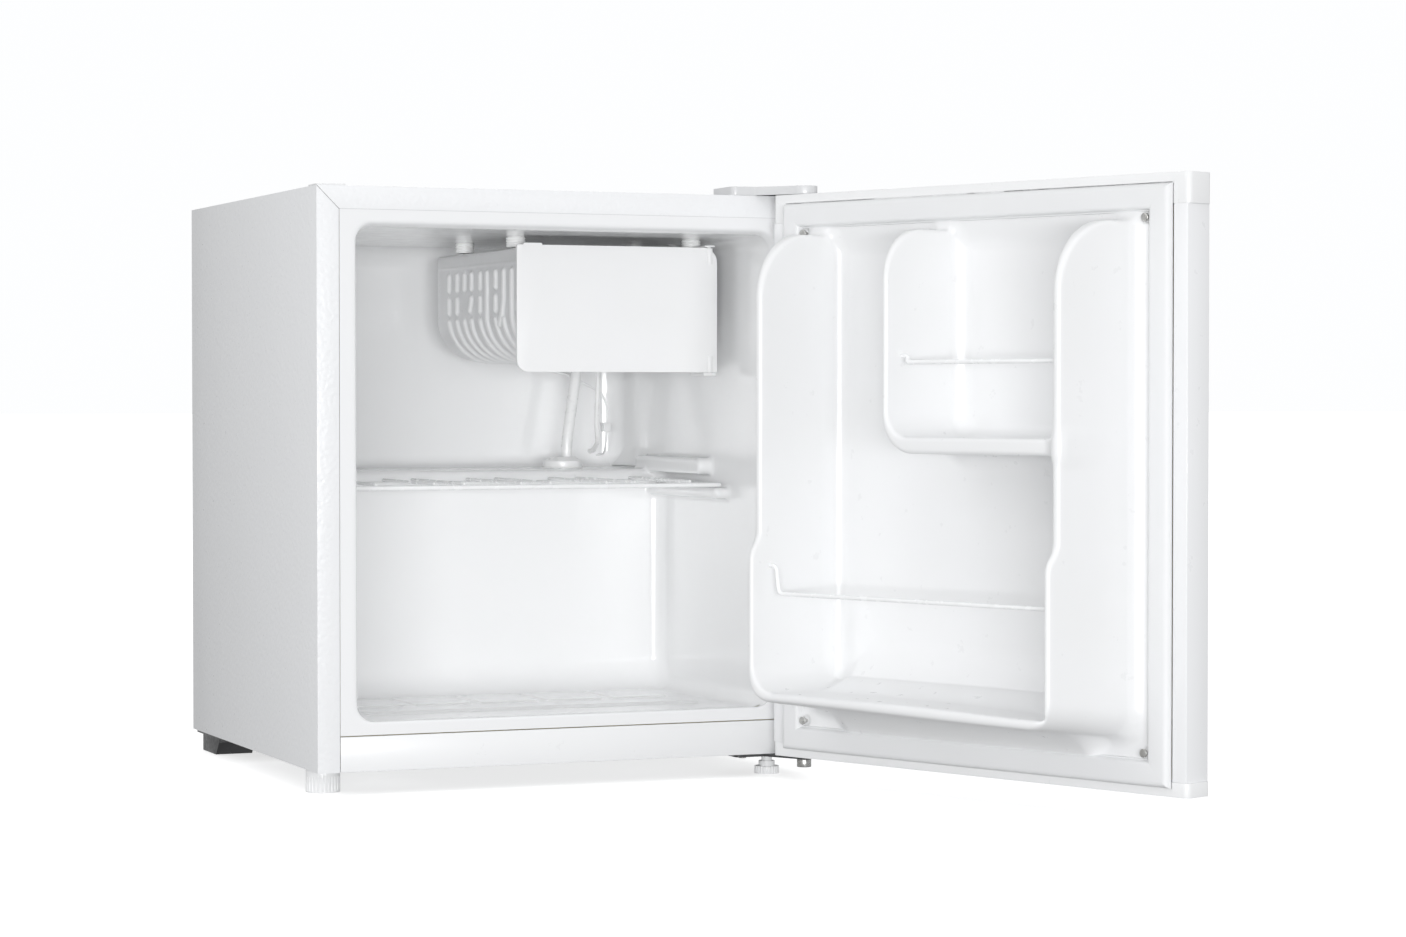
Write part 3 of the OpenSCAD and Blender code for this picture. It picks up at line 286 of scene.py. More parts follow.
class Nodes:
    """Short hand for a material's node tree"""

    def __init__(self, name, color, rough, metal=0.0, coat=0.0, spec=0.5):
        self.m = bpy.data.materials.new(name)
        self.m.use_nodes = True
        self.t = self.m.node_tree
        self.b = self.t.nodes["Principled BSDF"]
        self.color = (*color, 1.0)
        self.b.inputs["Base Color"].default_value = self.color
        self.b.inputs["Roughness"].default_value = rough
        self.b.inputs["Metallic"].default_value = metal
        self.b.inputs["Coat Weight"].default_value = coat
        self.b.inputs["Coat Roughness"].default_value = 0.12
        self.b.inputs["Specular IOR Level"].default_value = spec
        self.rough = rough
        self.tc = self.t.nodes.new("ShaderNodeTexCoord")
        self.m.diffuse_color = self.color
        self.normal = None

    def put(self, n, key, v):
        s = n.inputs[key]
        if isinstance(v, bpy.types.NodeSocket):
            self.t.links.new(v, s)
        else:
            s.default_value = v

    def math(self, op, a, b=0.0):
        n = self.t.nodes.new("ShaderNodeMath")
        n.operation = op
        for i, v in enumerate((a, b)):
            self.put(n, i, v)
        return n.outputs[0]

    def noise(self, scale, detail=2.0, rough=0.5, stretch=None):
        co = self.tc.outputs["Object"]
        if stretch:
            mp = self.t.nodes.new("ShaderNodeMapping")
            mp.inputs["Scale"].default_value = stretch
            self.t.links.new(co, mp.inputs["Vector"])
            co = mp.outputs["Vector"]
        n = self.t.nodes.new("ShaderNodeTexNoise")
        n.inputs["Scale"].default_value = scale
        n.inputs["Detail"].default_value = detail
        n.inputs["Roughness"].default_value = rough
        self.t.links.new(co, n.inputs["Vector"])
        return n.outputs["Fac"]

    def remap(self, v, a, b, c, d):
        n = self.t.nodes.new("ShaderNodeMapRange")
        for i, x in enumerate((v, a, b, c, d)):
            self.put(n, i, x)
        return n.outputs[0]

    def mottle(self, scale, amount, tint=None):
        """Slow variation of the colour"""
        n = self.noise(scale, 3.0)
        mix = self.t.nodes.new("ShaderNodeMix")
        mix.data_type = "RGBA"
        dark = tuple(c * (1 - amount) for c in self.color[:3])
        dark = tuple(d * t for d, t in zip(dark, tint)) if tint else dark
        mix.inputs["A"].default_value = (*dark, 1)
        mix.inputs["B"].default_value = self.color
        self.put(mix, "Factor", self.remap(n, 0.35, 0.65, 0.0, 1.0))
        self.t.links.new(mix.outputs["Result"], self.b.inputs["Base Color"])
        return self

    def darken(self, fac, color):
        """Paints color where fac is 1"""
        mix = self.t.nodes.new("ShaderNodeMix")
        mix.data_type = "RGBA"
        link = self.b.inputs["Base Color"].links
        if link:
            self.t.links.new(link[0].from_socket, mix.inputs["A"])
        else:
            mix.inputs["A"].default_value = self.color
        mix.inputs["B"].default_value = (*color, 1)
        self.put(mix, "Factor", fac)
        self.t.links.new(mix.outputs["Result"], self.b.inputs["Base Color"])
        return self

    def gloss(self, scale, spread):
        """Fine variation of the roughness"""
        n = self.noise(scale, 4.0, 0.6)
        self.t.links.new(self.remap(n, 0.3, 0.7, max(self.rough - spread, 0.02), self.rough + spread),
                         self.b.inputs["Roughness"])
        return self

    def bump(self, height, strength, distance):
        n = self.t.nodes.new("ShaderNodeBump")
        n.inputs["Strength"].default_value = strength
        n.inputs["Distance"].default_value = distance
        self.t.links.new(height, n.inputs["Height"])
        if self.normal:
            self.t.links.new(self.normal, n.inputs["Normal"])
        self.normal = n.outputs["Normal"]
        self.t.links.new(self.normal, self.b.inputs["Normal"])
        return self

    def cells(self, scale):
        """Soft pebbles, with their places warped so that no grid shows"""
        n = self.t.nodes.new("ShaderNodeTexVoronoi")
        n.feature = "SMOOTH_F1"
        n.inputs["Scale"].default_value = scale
        n.inputs["Smoothness"].default_value = 1.0
        warp = self.t.nodes.new("ShaderNodeVectorMath")
        warp.operation = "ADD"
        nz = self.t.nodes.new("ShaderNodeTexNoise")
        nz.inputs["Scale"].default_value = scale * 0.6
        self.t.links.new(self.tc.outputs["Object"], nz.inputs["Vector"])
        sc = self.t.nodes.new("ShaderNodeVectorMath")
        sc.operation = "SCALE"
        sc.inputs["Scale"].default_value = 0.9 / scale
        self.t.links.new(nz.outputs["Color"], sc.inputs[0])
        self.t.links.new(self.tc.outputs["Object"], warp.inputs[0])
        self.t.links.new(sc.outputs[0], warp.inputs[1])
        self.t.links.new(warp.outputs[0], n.inputs["Vector"])
        return n.outputs["Distance"]

    def xyz(self):
        n = self.t.nodes.new("ShaderNodeSeparateXYZ")
        self.t.links.new(self.tc.outputs["Object"], n.inputs[0])
        return n.outputs

    def band(self, v, centre, half):
        """1 where v is within half of centre"""
        d = self.math("ABSOLUTE", self.math("SUBTRACT", v, centre))
        return self.remap(d, half, half * 0.6, 0.0, 1.0)


# Width of the shell's folded front edge and half the width of a seam line, in metres
FOLD = 0.019
LINE = 0.00045


def painted_steel(name, color, seams=False):
    """Pebble-grained paint on sheet steel, with the folded corners' mitre lines"""
    n = Nodes(name, color, 0.33, coat=0.25)
    n.mottle(6.0, 0.015).gloss(240.0, 0.06)
    n.bump(n.cells(260.0), 0.55, 0.0006)
    n.bump(n.noise(70.0, 2.0, stretch=(1.0, 1.0, 0.35)), 0.22, 0.0006)
    n.bump(n.noise(2600.0, 2.0), 0.10, 0.00008)
    if seams:
        x, y, z = n.xyz()
        side = n.math("SUBTRACT", float(SHELL_HI.x), n.math("ABSOLUTE", x))
        down = n.math("SUBTRACT", float(SHELL_HI.z), z)
        line = n.band(n.math("SUBTRACT", side, down), 0.0, LINE)
        face = n.math("LESS_THAN", y, FRONT + 0.0006)
        near = n.math("LESS_THAN", down, FOLD + 0.0002)
        fac = n.math("MULTIPLY", line, n.math("MULTIPLY", face, near))
        n.darken(n.math("MULTIPLY", fac, 0.75), (0.18, 0.18, 0.17))
        edge = n.band(n.math("MINIMUM", side, down), FOLD + 0.00005, LINE)
        edge = n.math("MULTIPLY", edge, face)
        n.darken(n.math("MULTIPLY", edge, 0.55), (0.30, 0.30, 0.31))
        n.bump(n.math("SUBTRACT", 1.0, fac), 0.6, 0.0006)
    return n.m


def smooth_paint(name, color):
    n = Nodes(name, color, 0.30, coat=0.2)
    n.mottle(9.0, 0.012).gloss(80.0, 0.03)
    n.bump(n.noise(260.0, 1.0), 0.03, 0.0001)
    n.bump(n.noise(35.0, 1.0), 0.08, 0.0005)
    return n.m


def coated_wire(name, color):
    n = Nodes(name, color, 0.26, coat=0.4)
    n.mottle(25.0, 0.02).gloss(90.0, 0.04)
    n.bump(n.noise(160.0, 1.0), 0.06, 0.0002)
    return n.m


def moulded(name, color, rough=0.3, coat=0.15, ripple=0.12, grain=0.06):
    """Moulded or vacuum-formed plastic: faint pulls, faint grain, faint cloudiness"""
    n = Nodes(name, color, rough, coat=coat)
    n.mottle(11.0, 0.015, (1.0, 1.0, 0.995)).gloss(70.0, 0.03)
    n.bump(n.noise(14.0, 1.0), ripple, 0.0016)
    n.bump(n.noise(260.0, 1.0), grain, 0.0001)
    return n.m


def soft_rubber(name, color, rough):
    n = Nodes(name, color, rough, spec=0.35)
    n.mottle(40.0, 0.05, (1.0, 0.995, 0.98)).gloss(500.0, 0.08)
    n.bump(n.noise(900.0, 3.0), 0.25, 0.00012)
    return n.m


def plated(name, color, rough=0.34):
    n = Nodes(name, color, rough, metal=1.0)
    n.mottle(90.0, 0.16, (1.0, 0.985, 0.95)).gloss(420.0, 0.12)
    n.bump(n.noise(700.0, 3.0), 0.25, 0.00012)
    return n.m


def spangled(name):
    """Galvanised sheet"""
    n = Nodes(name, (0.60, 0.62, 0.63), 0.42, metal=0.9)
    v = n.t.nodes.new("ShaderNodeTexVoronoi")
    v.inputs["Scale"].default_value = 85.0
    n.t.links.new(n.tc.outputs["Object"], v.inputs["Vector"])
    sep = n.t.nodes.new("ShaderNodeSeparateColor")
    n.t.links.new(v.outputs["Color"], sep.inputs[0])
    n.darken(n.remap(sep.outputs[0], 0.0, 1.0, 0.0, 0.55), (0.42, 0.44, 0.46))
    n.gloss(500.0, 0.12)
    n.bump(n.noise(500.0, 3.0), 0.15, 0.0001)
    return n.m


def black_paint(name):
    n = Nodes(name, (0.022, 0.022, 0.024), 0.38, coat=0.1)
    n.mottle(60.0, 0.3).gloss(260.0, 0.12)
    n.bump(n.noise(650.0, 4.0), 0.35, 0.0002)
    dust = n.remap(n.noise(25.0, 4.0), 0.55, 0.8, 0.0, 0.12)
    n.darken(dust, (0.24, 0.23, 0.21))
    return n.m


def foamed(name):
    n = Nodes(name, (0.86, 0.78, 0.52), 0.85, spec=0.2)
    n.mottle(60.0, 0.14)
    n.bump(n.cells(900.0), 0.6, 0.0006)
    return n.m


def copper(name):
    n = Nodes(name, (0.78, 0.42, 0.27), 0.30, metal=1.0)
    n.mottle(55.0, 0.30, (1.0, 0.85, 0.75)).gloss(300.0, 0.13)
    n.bump(n.noise(420.0, 3.0, stretch=(1, 1, 0.1)), 0.18, 0.00015)
    return n.m


WHITE = (0.85, 0.855, 0.86)
M = {
    "grain": painted_steel("shell_grain", (0.845, 0.852, 0.863), True),
    "paint": smooth_paint("front_paint", WHITE),
    "skin": smooth_paint("door_skin", (0.85, 0.856, 0.866)),
    "inner": moulded("door_plastic", (0.85, 0.855, 0.862), 0.30, 0.12, 0.06, 0.02),
    "plastic": moulded("white_plastic", WHITE, 0.30),
    "flap": moulded("flap_plastic", (0.90, 0.903, 0.908), 0.34, 0.1, 0.06, 0.08),
    "seal": moulded("seal", (0.80, 0.806, 0.815), 0.5, 0.0, 0.05, 0.05),
    "cover": moulded("cover_plastic", (0.64, 0.645, 0.655), 0.34),
    "wire": coated_wire("wire_coat", (0.93, 0.935, 0.94)),
    "zinc": plated("zinc", (0.62, 0.62, 0.61)),
    "steel": plated("pin_steel", (0.48, 0.48, 0.47), 0.3),
    "sheet": spangled("galvanised"),
    "black": black_paint("black_paint"),
    "blackplastic": moulded("black_plastic", (0.03, 0.03, 0.032), 0.5, 0.0, 0.1, 0.4),
    "blackrubber": soft_rubber("black_rubber", (0.03, 0.03, 0.03), 0.7),
    "foam": foamed("foam"),
    "copper": copper("copper"),
    "post": moulded("bright_plastic", (0.93, 0.935, 0.935), 0.28),
    "cream": moulded("relay_plastic", (0.72, 0.70, 0.62), 0.45),
    "magnet": soft_rubber("magnet_strip", (0.07, 0.07, 0.07), 0.75),
}


def roll_bond():
    """Coated aluminium of the evaporator, with a painted highlight on its raised channels"""
    n = Nodes("roll_bond", (0.80, 0.805, 0.812), 0.36, metal=0.0, coat=0.15)
    n.mottle(30.0, 0.05, (1.0, 1.0, 1.0)).gloss(260.0, 0.1)
    at = n.t.nodes.new("ShaderNodeAttribute")
    at.attribute_name = "raised"
    # Painted highlight: where the raised mask is 1, the channels get a lighter colour than the sheet
    n.darken(at.outputs["Fac"], (0.95, 0.955, 0.955))
    n.bump(n.noise(900.0, 3.0), 0.2, 0.0001)
    n.bump(n.noise(60.0, 2.0), 0.2, 0.0005)
    return n.m


def liner_plastic():
    """Glossy sheet, with painted shade darkening the flange round the mouth"""
    n = Nodes("liner_plastic", (0.945, 0.95, 0.953), 0.17, coat=0.25)
    n.mottle(11.0, 0.012).gloss(70.0, 0.03)
    # Painted shade: the flange at the front plane gets a darker colour, fading out 16 mm in
    n.darken(n.remap(n.xyz()[1], FRONT + 0.001, FRONT + 0.016, 1.0, 0.0), (0.84, 0.845, 0.852))
    n.bump(n.noise(14.0, 1.0), 0.07, 0.0016)
    n.bump(n.noise(260.0, 1.0), 0.02, 0.0001)
    return n.m


M["evap"] = roll_bond()
M["liner"] = liner_plastic()


# ---------------------------------------------------------------- cabinet liner

# Millimetres: x from the middle, y behind the front plane, z from the floor
ROOM_X, ROOM_BACK, ROOM_FLOOR, ROOM_TOP = 185.0, 366.0, 57.0, 465.0
LIP_DEEP = 8.0
STEP_Y, STEP_Z = 252.0, 259.5
PADS, PAD_X, PAD_PITCH, PAD_Y = 5, -124.0, 61.5, 185.0
PAD_HALF_X, PAD_HALF_Y = 25.6, 35.0
BAR_YS, BAR_HALF = (85.5, 100.5), 1.6
# Shelf ribs: underside, top, front end, back end, and how far in they stand
RIBS = ((235.5, 245.5, 92.0, 300.0), (256.5, 271.5, 130.0, 285.0))
RIB_X = 171.0


def cabinet_liner_field(x, y, z):
    """Distance to the compartment's liner, with the compressor's step and the shelf ribs"""
    ax = np.abs(x)
    lip = 1 - ramp(y, 0.0, LIP_DEEP)
    pads = 0.0
    for i in range(PADS):
        dx = np.abs(x - (PAD_X + PAD_PITCH * i)) - PAD_HALF_X
        dy = np.abs(y - PAD_Y) - PAD_HALF_Y
        pads = pads + (1 - ramp(np.maximum(dx, dy), -1.0, 1.0))
    bars = sum(1 - ramp(np.abs(y - bar) - BAR_HALF, -0.8, 1.2) for bar in BAR_YS)
    bars = bars * (1 - ramp(ax, 150, 153))
    floor = ROOM_FLOOR + 3.5 * lip + 1.4 * pads + 1.1 * bars - z
    ceiling = z - ROOM_TOP - 2.5 * lip
    hump = meet(STEP_Y - y, z - STEP_Z, 8.0)
    room = meet(y - ROOM_BACK, ceiling, 20.0)
    room = meet(room, floor, 2.0)
    room = meet(room, -hump, np.where(z < 150, 28.0, 12.0))
    wall = ax - ROOM_X - lip - 0.012 * np.clip(z - 60, 0, 400) * 0.1
    corner = np.where((y > 200) & (z > 262), 20.0, 14.0)
    room = meet(room, wall, corner)
    for z0, z1, y0, y1 in RIBS:
        r = (z1 - z0) / 2 - 0.2
        end = np.hypot(np.maximum(y0 + r - y, 0), z - (z0 + z1) / 2) - r
        end = np.maximum(end, np.abs(z - (z0 + z1) / 2) - r)
        if y1 < RIBS[0][3]:
            end = meet(end, y - y1, 4.0)
        room = meet(room, -meet(end, RIB_X - ax, 3.0), 3.0)
    return meet(-room, 0.2 - y, 2.4)


def build_cabinet_liner():
    h = 1.7
    lo = (-200.7 - h / 2, -2.5, 48.9 - h / 2)
    hi = (200.7 + h / 2, 369.0, 478.6 + h / 2)
    v, q = nets(cabinet_liner_field, lo, hi, h)
    ob = new_object("cabinet_liner", at_front(v), q, "cabinet", M["liner"], 180)
    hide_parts("inner_liner")


# ---------------------------------------------------------------- door liner

# Millimetres with the door closed: c is how far a point reaches into the cabinet
FACE_C, RECESS_C = -7.0, -17.0
RECESS_LOW, RECESS_HIGH, RECESS_CORNER = 80.0, 452.5, 8.0
UPPER_C, LOWER_C, RIDGE_TOP = 75.2, 85.2, 461.0
BIN_C, BIN_TOP = 67.2, 460.5
FILLET = 14.0
SCREW_X, SCREW_ZS, SCREW_R = 182.0, (52.0, 463.5), 4.4


def door_liner_field(x, c, z):
    """Distance to the door's liner: recess, two side ridges joined by the rack, small bin, screw seats"""
    ax = np.abs(x)
    base = c - FACE_C
    deep = c - RECESS_C
    top = RECESS_HIGH + 1.15 * deep
    mid, half = (top + RECESS_LOW) / 2, (top - RECESS_LOW) / 2
    qx = ax - (157.5 + 0.2 * deep) + RECESS_CORNER
    qz = np.abs(z - mid) - half + RECESS_CORNER
    rect = np.hypot(np.maximum(qx, 0), np.maximum(qz, 0)) + np.minimum(np.maximum(qx, qz), 0) - RECESS_CORNER
    base = meet(base, -meet(rect, -deep, 9.0), 5.0)
    outer_x = 162.0 + (75 - c) * 0.150
    inner_x = 154.8 - (75 - c) * 0.012
    under = 61.5 + (0.15 - 0.045 * ramp(-x, -160, 160)) * (c - FACE_C)
    outer = meet(ax - outer_x, under - z, 24.0)
    low = 83.5 - 0.02 * (85 - c) - 3.0 * ramp(-x, 0, 150)
    inner = meet(ax - inner_x, low - z, 24.0 - 20.0 * ramp(-x, 40, 120))
    wall = meet(outer, -inner, 3.5)
    slope = ((c - 75) * 16 + (z - 210) * 13) / 20.616
    side = join(meet(c - UPPER_C, z - RIDGE_TOP, 56.0), meet(c - LOWER_C, slope, 4.0), 3.0)
    side = meet(side, under - z, 6.0)
    u = meet(wall, side, 3.5)
    in_x, in_z = 17 + deep * 0.062, 291 + deep * 0.036
    out_x, out_z = 36 - deep * 0.095, 278.5 + deep * 0.03
    outside = meet(x - out_x, out_z - z, 31.0)
    inside = meet(x - in_x, in_z - z, 21.0)
    small_bin = meet(outside, -inside, 3.5)
    small_bin = meet(small_bin, meet(c - BIN_C, z - BIN_TOP, 42.0), 3.4)
    small_bin = meet(small_bin, -x - 158.0, 0.5)
    hollow = 30.0 * (1 - ramp(z, 130, 190)) * (1 - ramp(ax, 125, 150))
    f = join(base, u, FILLET + hollow)
    f = join(f, small_bin, FILLET)
    for screw_z in SCREW_ZS:
        d = np.hypot(ax - SCREW_X, z - screw_z)
        f = meet(f, -meet(d - SCREW_R, FACE_C - 0.9 - c, 0.4), 0.4)
    return f


def build_door_liner():
    h = 1.55
    lo = (-205.8 - h / 2, -20.0, 26.7 - h / 2)
    hi = (205.8 + h / 2, 88.0, 488.8 + h / 2)
    v, q = nets(door_liner_field, lo, hi, h)
    ob = new_object("door_inner", on_door(v), q, "door", M["inner"], 180)
    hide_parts("door_liner")


# ---------------------------------------------------------------- gasket

def build_gasket():
    """The seal's section swept round the door, mitred at its four corners"""
    prof = [(0.3, -7.0), (0.0, -5.6), (0.5, -3.4), (1.6, -1.7), (3.0, -0.9), (5.0, -0.65), (16.5, -0.6),
            (17.8, -0.8), (18.9, -1.6), (19.5, -3.0), (19.9, -4.6), (20.3, -5.0), (20.8, -4.9), (21.2, -6.9)]
    x0, z0, z1 = 206.0, 26.5, 489.0
    verts, faces = [], []
    steps = 26
    sides = [((-x0, z0), (x0, z0), (0, 1)), ((x0, z0), (x0, z1), (-1, 0)),
             ((x0, z1), (-x0, z1), (0, -1)), ((-x0, z1), (-x0, z0), (1, 0))]
    for (ax, az), (bx, bz), (nx, nz) in sides:
        dx, dz = bx - ax, bz - az
        length = math.hypot(dx, dz)
        dx, dz = dx / length, dz / length
        base = len(verts)
        for i in range(steps + 1):
            for u, c in prof:
                t = u + (length - 2 * u) * i / steps
                sink = 0.35 if i in (0, steps) else 0.0
                verts.append((ax + dx * t + nx * u, c - sink, az + dz * t + nz * u))
        k = len(prof)
        for i in range(steps):
            for j in range(k - 1):
                faces.append((base + i * k + j, base + i * k + j + 1,
                              base + (i + 1) * k + j + 1, base + (i + 1) * k + j))
    ob = new_object("gasket_profile", on_door(verts), faces, "door", M["seal"], 50)
    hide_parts("door_gasket")


# ---------------------------------------------------------------- evaporator

def build_evaporator():
    """A roll-bonded sheet bent into a box, with its raised channels"""
    lo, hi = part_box("evaporator")
    x0, x1, z0, z1 = lo.x / MM, hi.x / MM, lo.z / MM, hi.z / MM
    y0, y1 = (lo.y - FRONT) / MM, (hi.y - FRONT) / MM
    r, rt, thick, sink, turn = 41.0, 4.0, 1.4, 1.6, 5

    def line(a, b, n):
        return [(a[0] + (b[0] - a[0]) * i / n, a[1] + (b[1] - a[1]) * i / n) for i in range(n)]

    def arc(cx, cz, rad, a0, a1, n):
        turns = [math.radians(a0 + (a1 - a0) * i / n) for i in range(n)]
        return [(cx + rad * math.cos(t), cz + rad * math.sin(t)) for t in turns]

    pts = (arc(x0 + rt, z1 - rt, rt, 90, 180, turn) + line((x0, z1 - rt), (x0, z0 + r), 60)
           + arc(x0 + r, z0 + r, r, 180, 270, 64) + line((x0 + r, z0), (x1 - r, z0), 90)
           + arc(x1 - r, z0 + r, r, 270, 360, 64) + line((x1, z0 + r), (x1, z1 - rt), 60)
           + arc(x1 - rt, z1 - rt, rt, 0, 90, turn) + line((x1 - rt, z1), (x0 + rt, z1), 20))
    p = np.array(pts)
    nxt, prv = np.roll(p, -1, 0), np.roll(p, 1, 0)
    d = nxt - prv
    d /= np.linalg.norm(d, axis=1)[:, None]
    out = np.stack([d[:, 1], -d[:, 0]], 1)
    centre = np.array([(x0 + x1) / 2, (z0 + z1) / 2])
    out *= np.sign(((p - centre) * out).sum(1))[:, None]
    s = np.concatenate([[0], np.cumsum(np.linalg.norm(np.diff(p, axis=0), axis=1))])
    s_top = s[turn]
    ny = 190
    y = np.linspace(y0, y1, ny)
    ss, yy = np.meshgrid(s, y, indexing="ij")

    def s_of(z):
        return s_top + (z1 - rt - z)

    bottom = s_top + (z1 - rt - z0 - r) + math.pi / 2 * r
    right_end = bottom + (x1 - x0 - 2 * r) + math.pi / 2 * r + 12
    cols = [275, 252.5, 232, 213, 189, 171, 148, 127, 106]
    long_cols = (171, 106)
    runs = []
    for cy in cols:
        if cy not in long_cols and cy != 127:
            runs.append([(s_of(434), cy), (s_of(423.5), cy)])
        if cy in (275, 252.5, 189, 148):
            runs.append([(s_of(412.5), cy), (s_of(403), cy)])
        if cy in long_cols:
            runs.append([(s_of(434), cy), (s_of(394), cy)])
    runs.append([(s_of(434), 127), (s_of(412), 127), (s_of(398), 131), (s_of(390), 140)])
    runs.append([(s_of(413), 213), (s_of(404), 217)])
    for cy in cols:
        runs.append([(s_of(392.5), cy), (bottom, cy), (right_end, cy)])
    dist = np.full(ss.shape, 99.0)
    for run in runs:
        for (sa, ya), (sb, yb) in zip(run, run[1:]):
            ds, dy = sb - sa, yb - ya
            t = np.clip(((ss - sa) * ds + (yy - ya) * dy) / (ds * ds + dy * dy), 0, 1)
            dist = np.minimum(dist, np.hypot(ss - sa - t * ds, yy - ya - t * dy))
    lift = 2.1 * (1 - ramp(dist, 2.2, 4.9))
    # Mask for the painted highlight on the channels' crests, read by the evaporator's material
    painted_highlight_mask = 1 - ramp(dist, 2.6, 4.6)
    crease = 0.45 * np.clip(1 - np.abs(ss - s_of(442.5)) / 1.3, 0, 1)
    lift = (lift + crease) - sink
    edge = np.minimum(yy - y0, y1 - yy)
    lift = np.where(edge < 1.5, -sink, lift)
    grid = np.stack([p[:, None, 0] + out[:, None, 0] * lift,
                     yy, p[:, None, 1] + out[:, None, 1] * lift], -1)
    back = sink + thick * 0.6
    inner = np.stack([np.broadcast_to(p[:, None, 0] - out[:, None, 0] * back, yy.shape), yy,
                      np.broadcast_to(p[:, None, 1] - out[:, None, 1] * back, yy.shape)], -1)
    n = len(p)
    a = np.arange(n)[:, None] * ny + np.arange(ny - 1)[None, :]
    b = ((np.arange(n) + 1) % n)[:, None] * ny + np.arange(ny - 1)[None, :]
    f1 = np.stack([a, b, b + 1, a + 1], -1).reshape(-1, 4)
    f2 = f1[:, ::-1] + n * ny
    rims = []
    for k in (0, ny - 1):
        u = np.arange(n) * ny + k
        w = ((np.arange(n) + 1) % n) * ny + k
        q = np.stack([u, u + n * ny, w + n * ny, w], -1)
        rims.append(q if k == 0 else q[:, ::-1])
    verts = np.concatenate([grid.reshape(-1, 3), inner.reshape(-1, 3)])
    faces = np.concatenate([f1, f2] + rims)
    ob = new_object("evaporator_box", at_front(verts), faces, "cabinet", M["evap"], 70)
    # The raised attribute carries the painted highlight mask
    at = ob.data.attributes.new("raised", "FLOAT", "POINT")
    full = np.zeros(len(ob.data.vertices), np.float32)
    full[:painted_highlight_mask.size] = painted_highlight_mask.ravel()
    at.data.foreach_set("value", full)
    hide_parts("evaporator")


# ---------------------------------------------------------------- wires

def node_box_mm(node):
    lo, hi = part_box(node)
    return (lo.x / MM, (lo.y - FRONT) / MM, lo.z / MM), (hi.x / MM, (hi.y - FRONT) / MM, hi.z / MM)


def build_shelf():
    lo, hi = node_box_mm("shelf_rails")
    r, z = 2.0, lo[2] + 2.0
    yf, yb = lo[1] + r, hi[1] - r
    parts = [[(lo[0], yf, z), (hi[0], yf, z)], [(lo[0], yb, z), (hi[0], yb, z)],
             [(lo[0] + 3, yf, z), (lo[0] + 3, yb, z)], [(hi[0] - 3, yf, z), (hi[0] - 3, yb, z)]]
    ob = tube("shelf_frame", parts, r, "shelf", M["wire"])
    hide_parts("shelf_rails")
    w_lo, w_hi = node_box_mm("shelf_wires")
    rw = (w_hi[2] - w_lo[2]) / 2
    parts = []
    for i in range(-2, 3):
        for s in (-1, 1):
            x = 5.5 + i * 79 + s * 13.5
            if abs(x - 5.5) < 158:
                parts.append([(x, w_lo[1], w_lo[2] + rw), (x, w_hi[1], w_lo[2] + rw)])
    ob = tube("shelf_grid", parts, rw, "shelf", M["wire"])
    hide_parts("shelf_wires")


RAIL_R = 1.7


def build_rails():
    y, z, x, drop = 65, 187, 152.5, 23
    run = [(x + 5, y, z), (x - 6, y, z), (x - 9, y, z - drop),
           (-x + 9, y, z - drop), (-x + 6, y, z), (-x - 5, y, z)]
    ob = tube("lower_bottle_rail", [run], RAIL_R, "bottle_rail", M["wire"], on_door, 5.0)
    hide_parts("lower_rail")
    y, z, x = 50, 358.5, 153.5
    run = [(26, y, z), (14, y, z), (11, y + 5, z - 5),
           (-x + 9, y + 5, z - 5), (-x + 6, y, z), (-x - 4, y, z)]
    ob = tube("upper_bottle_rail", [run], RAIL_R, "door", M["wire"], on_door, 4.0)
    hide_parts("upper_rail")


def build_pipes():
    gx, gy, ez = 109, 311, 357
    run = [(gx + 4, gy, STEP_Z + 5.2), (gx + 4, gy, STEP_Z + 24), (gx + 18, gy + 5, ez + 8)]
    ob = tube("suction_cover", [run], 5.0, "cabinet", M["post"], bend=10)
    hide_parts("suction_sleeve")
    run = [(157, 372, 274), (157, 358, 274), (153, 333, 284), (150, 330, 300),
           (149, 322, ez - 8), (143, 315, ez + 10)]
    ob = tube("return_pipe", [run], 2.2, "cabinet", M["post"], bend=12)
    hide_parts("return_tube")
    run = [(164, 372, 270), (164, 344, 272), (162, 335, 284), (162, 332, 318),
           (155, 330, 330), (118, 322, 347), (96, 314, 351)]
    ob = tube("capillary", [run], 1.0, "cabinet", M["wire"], bend=9, sides=10)
    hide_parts("sensor_capillary")


# ---------------------------------------------------------------- everything else

FOAM_BACK = 15.0


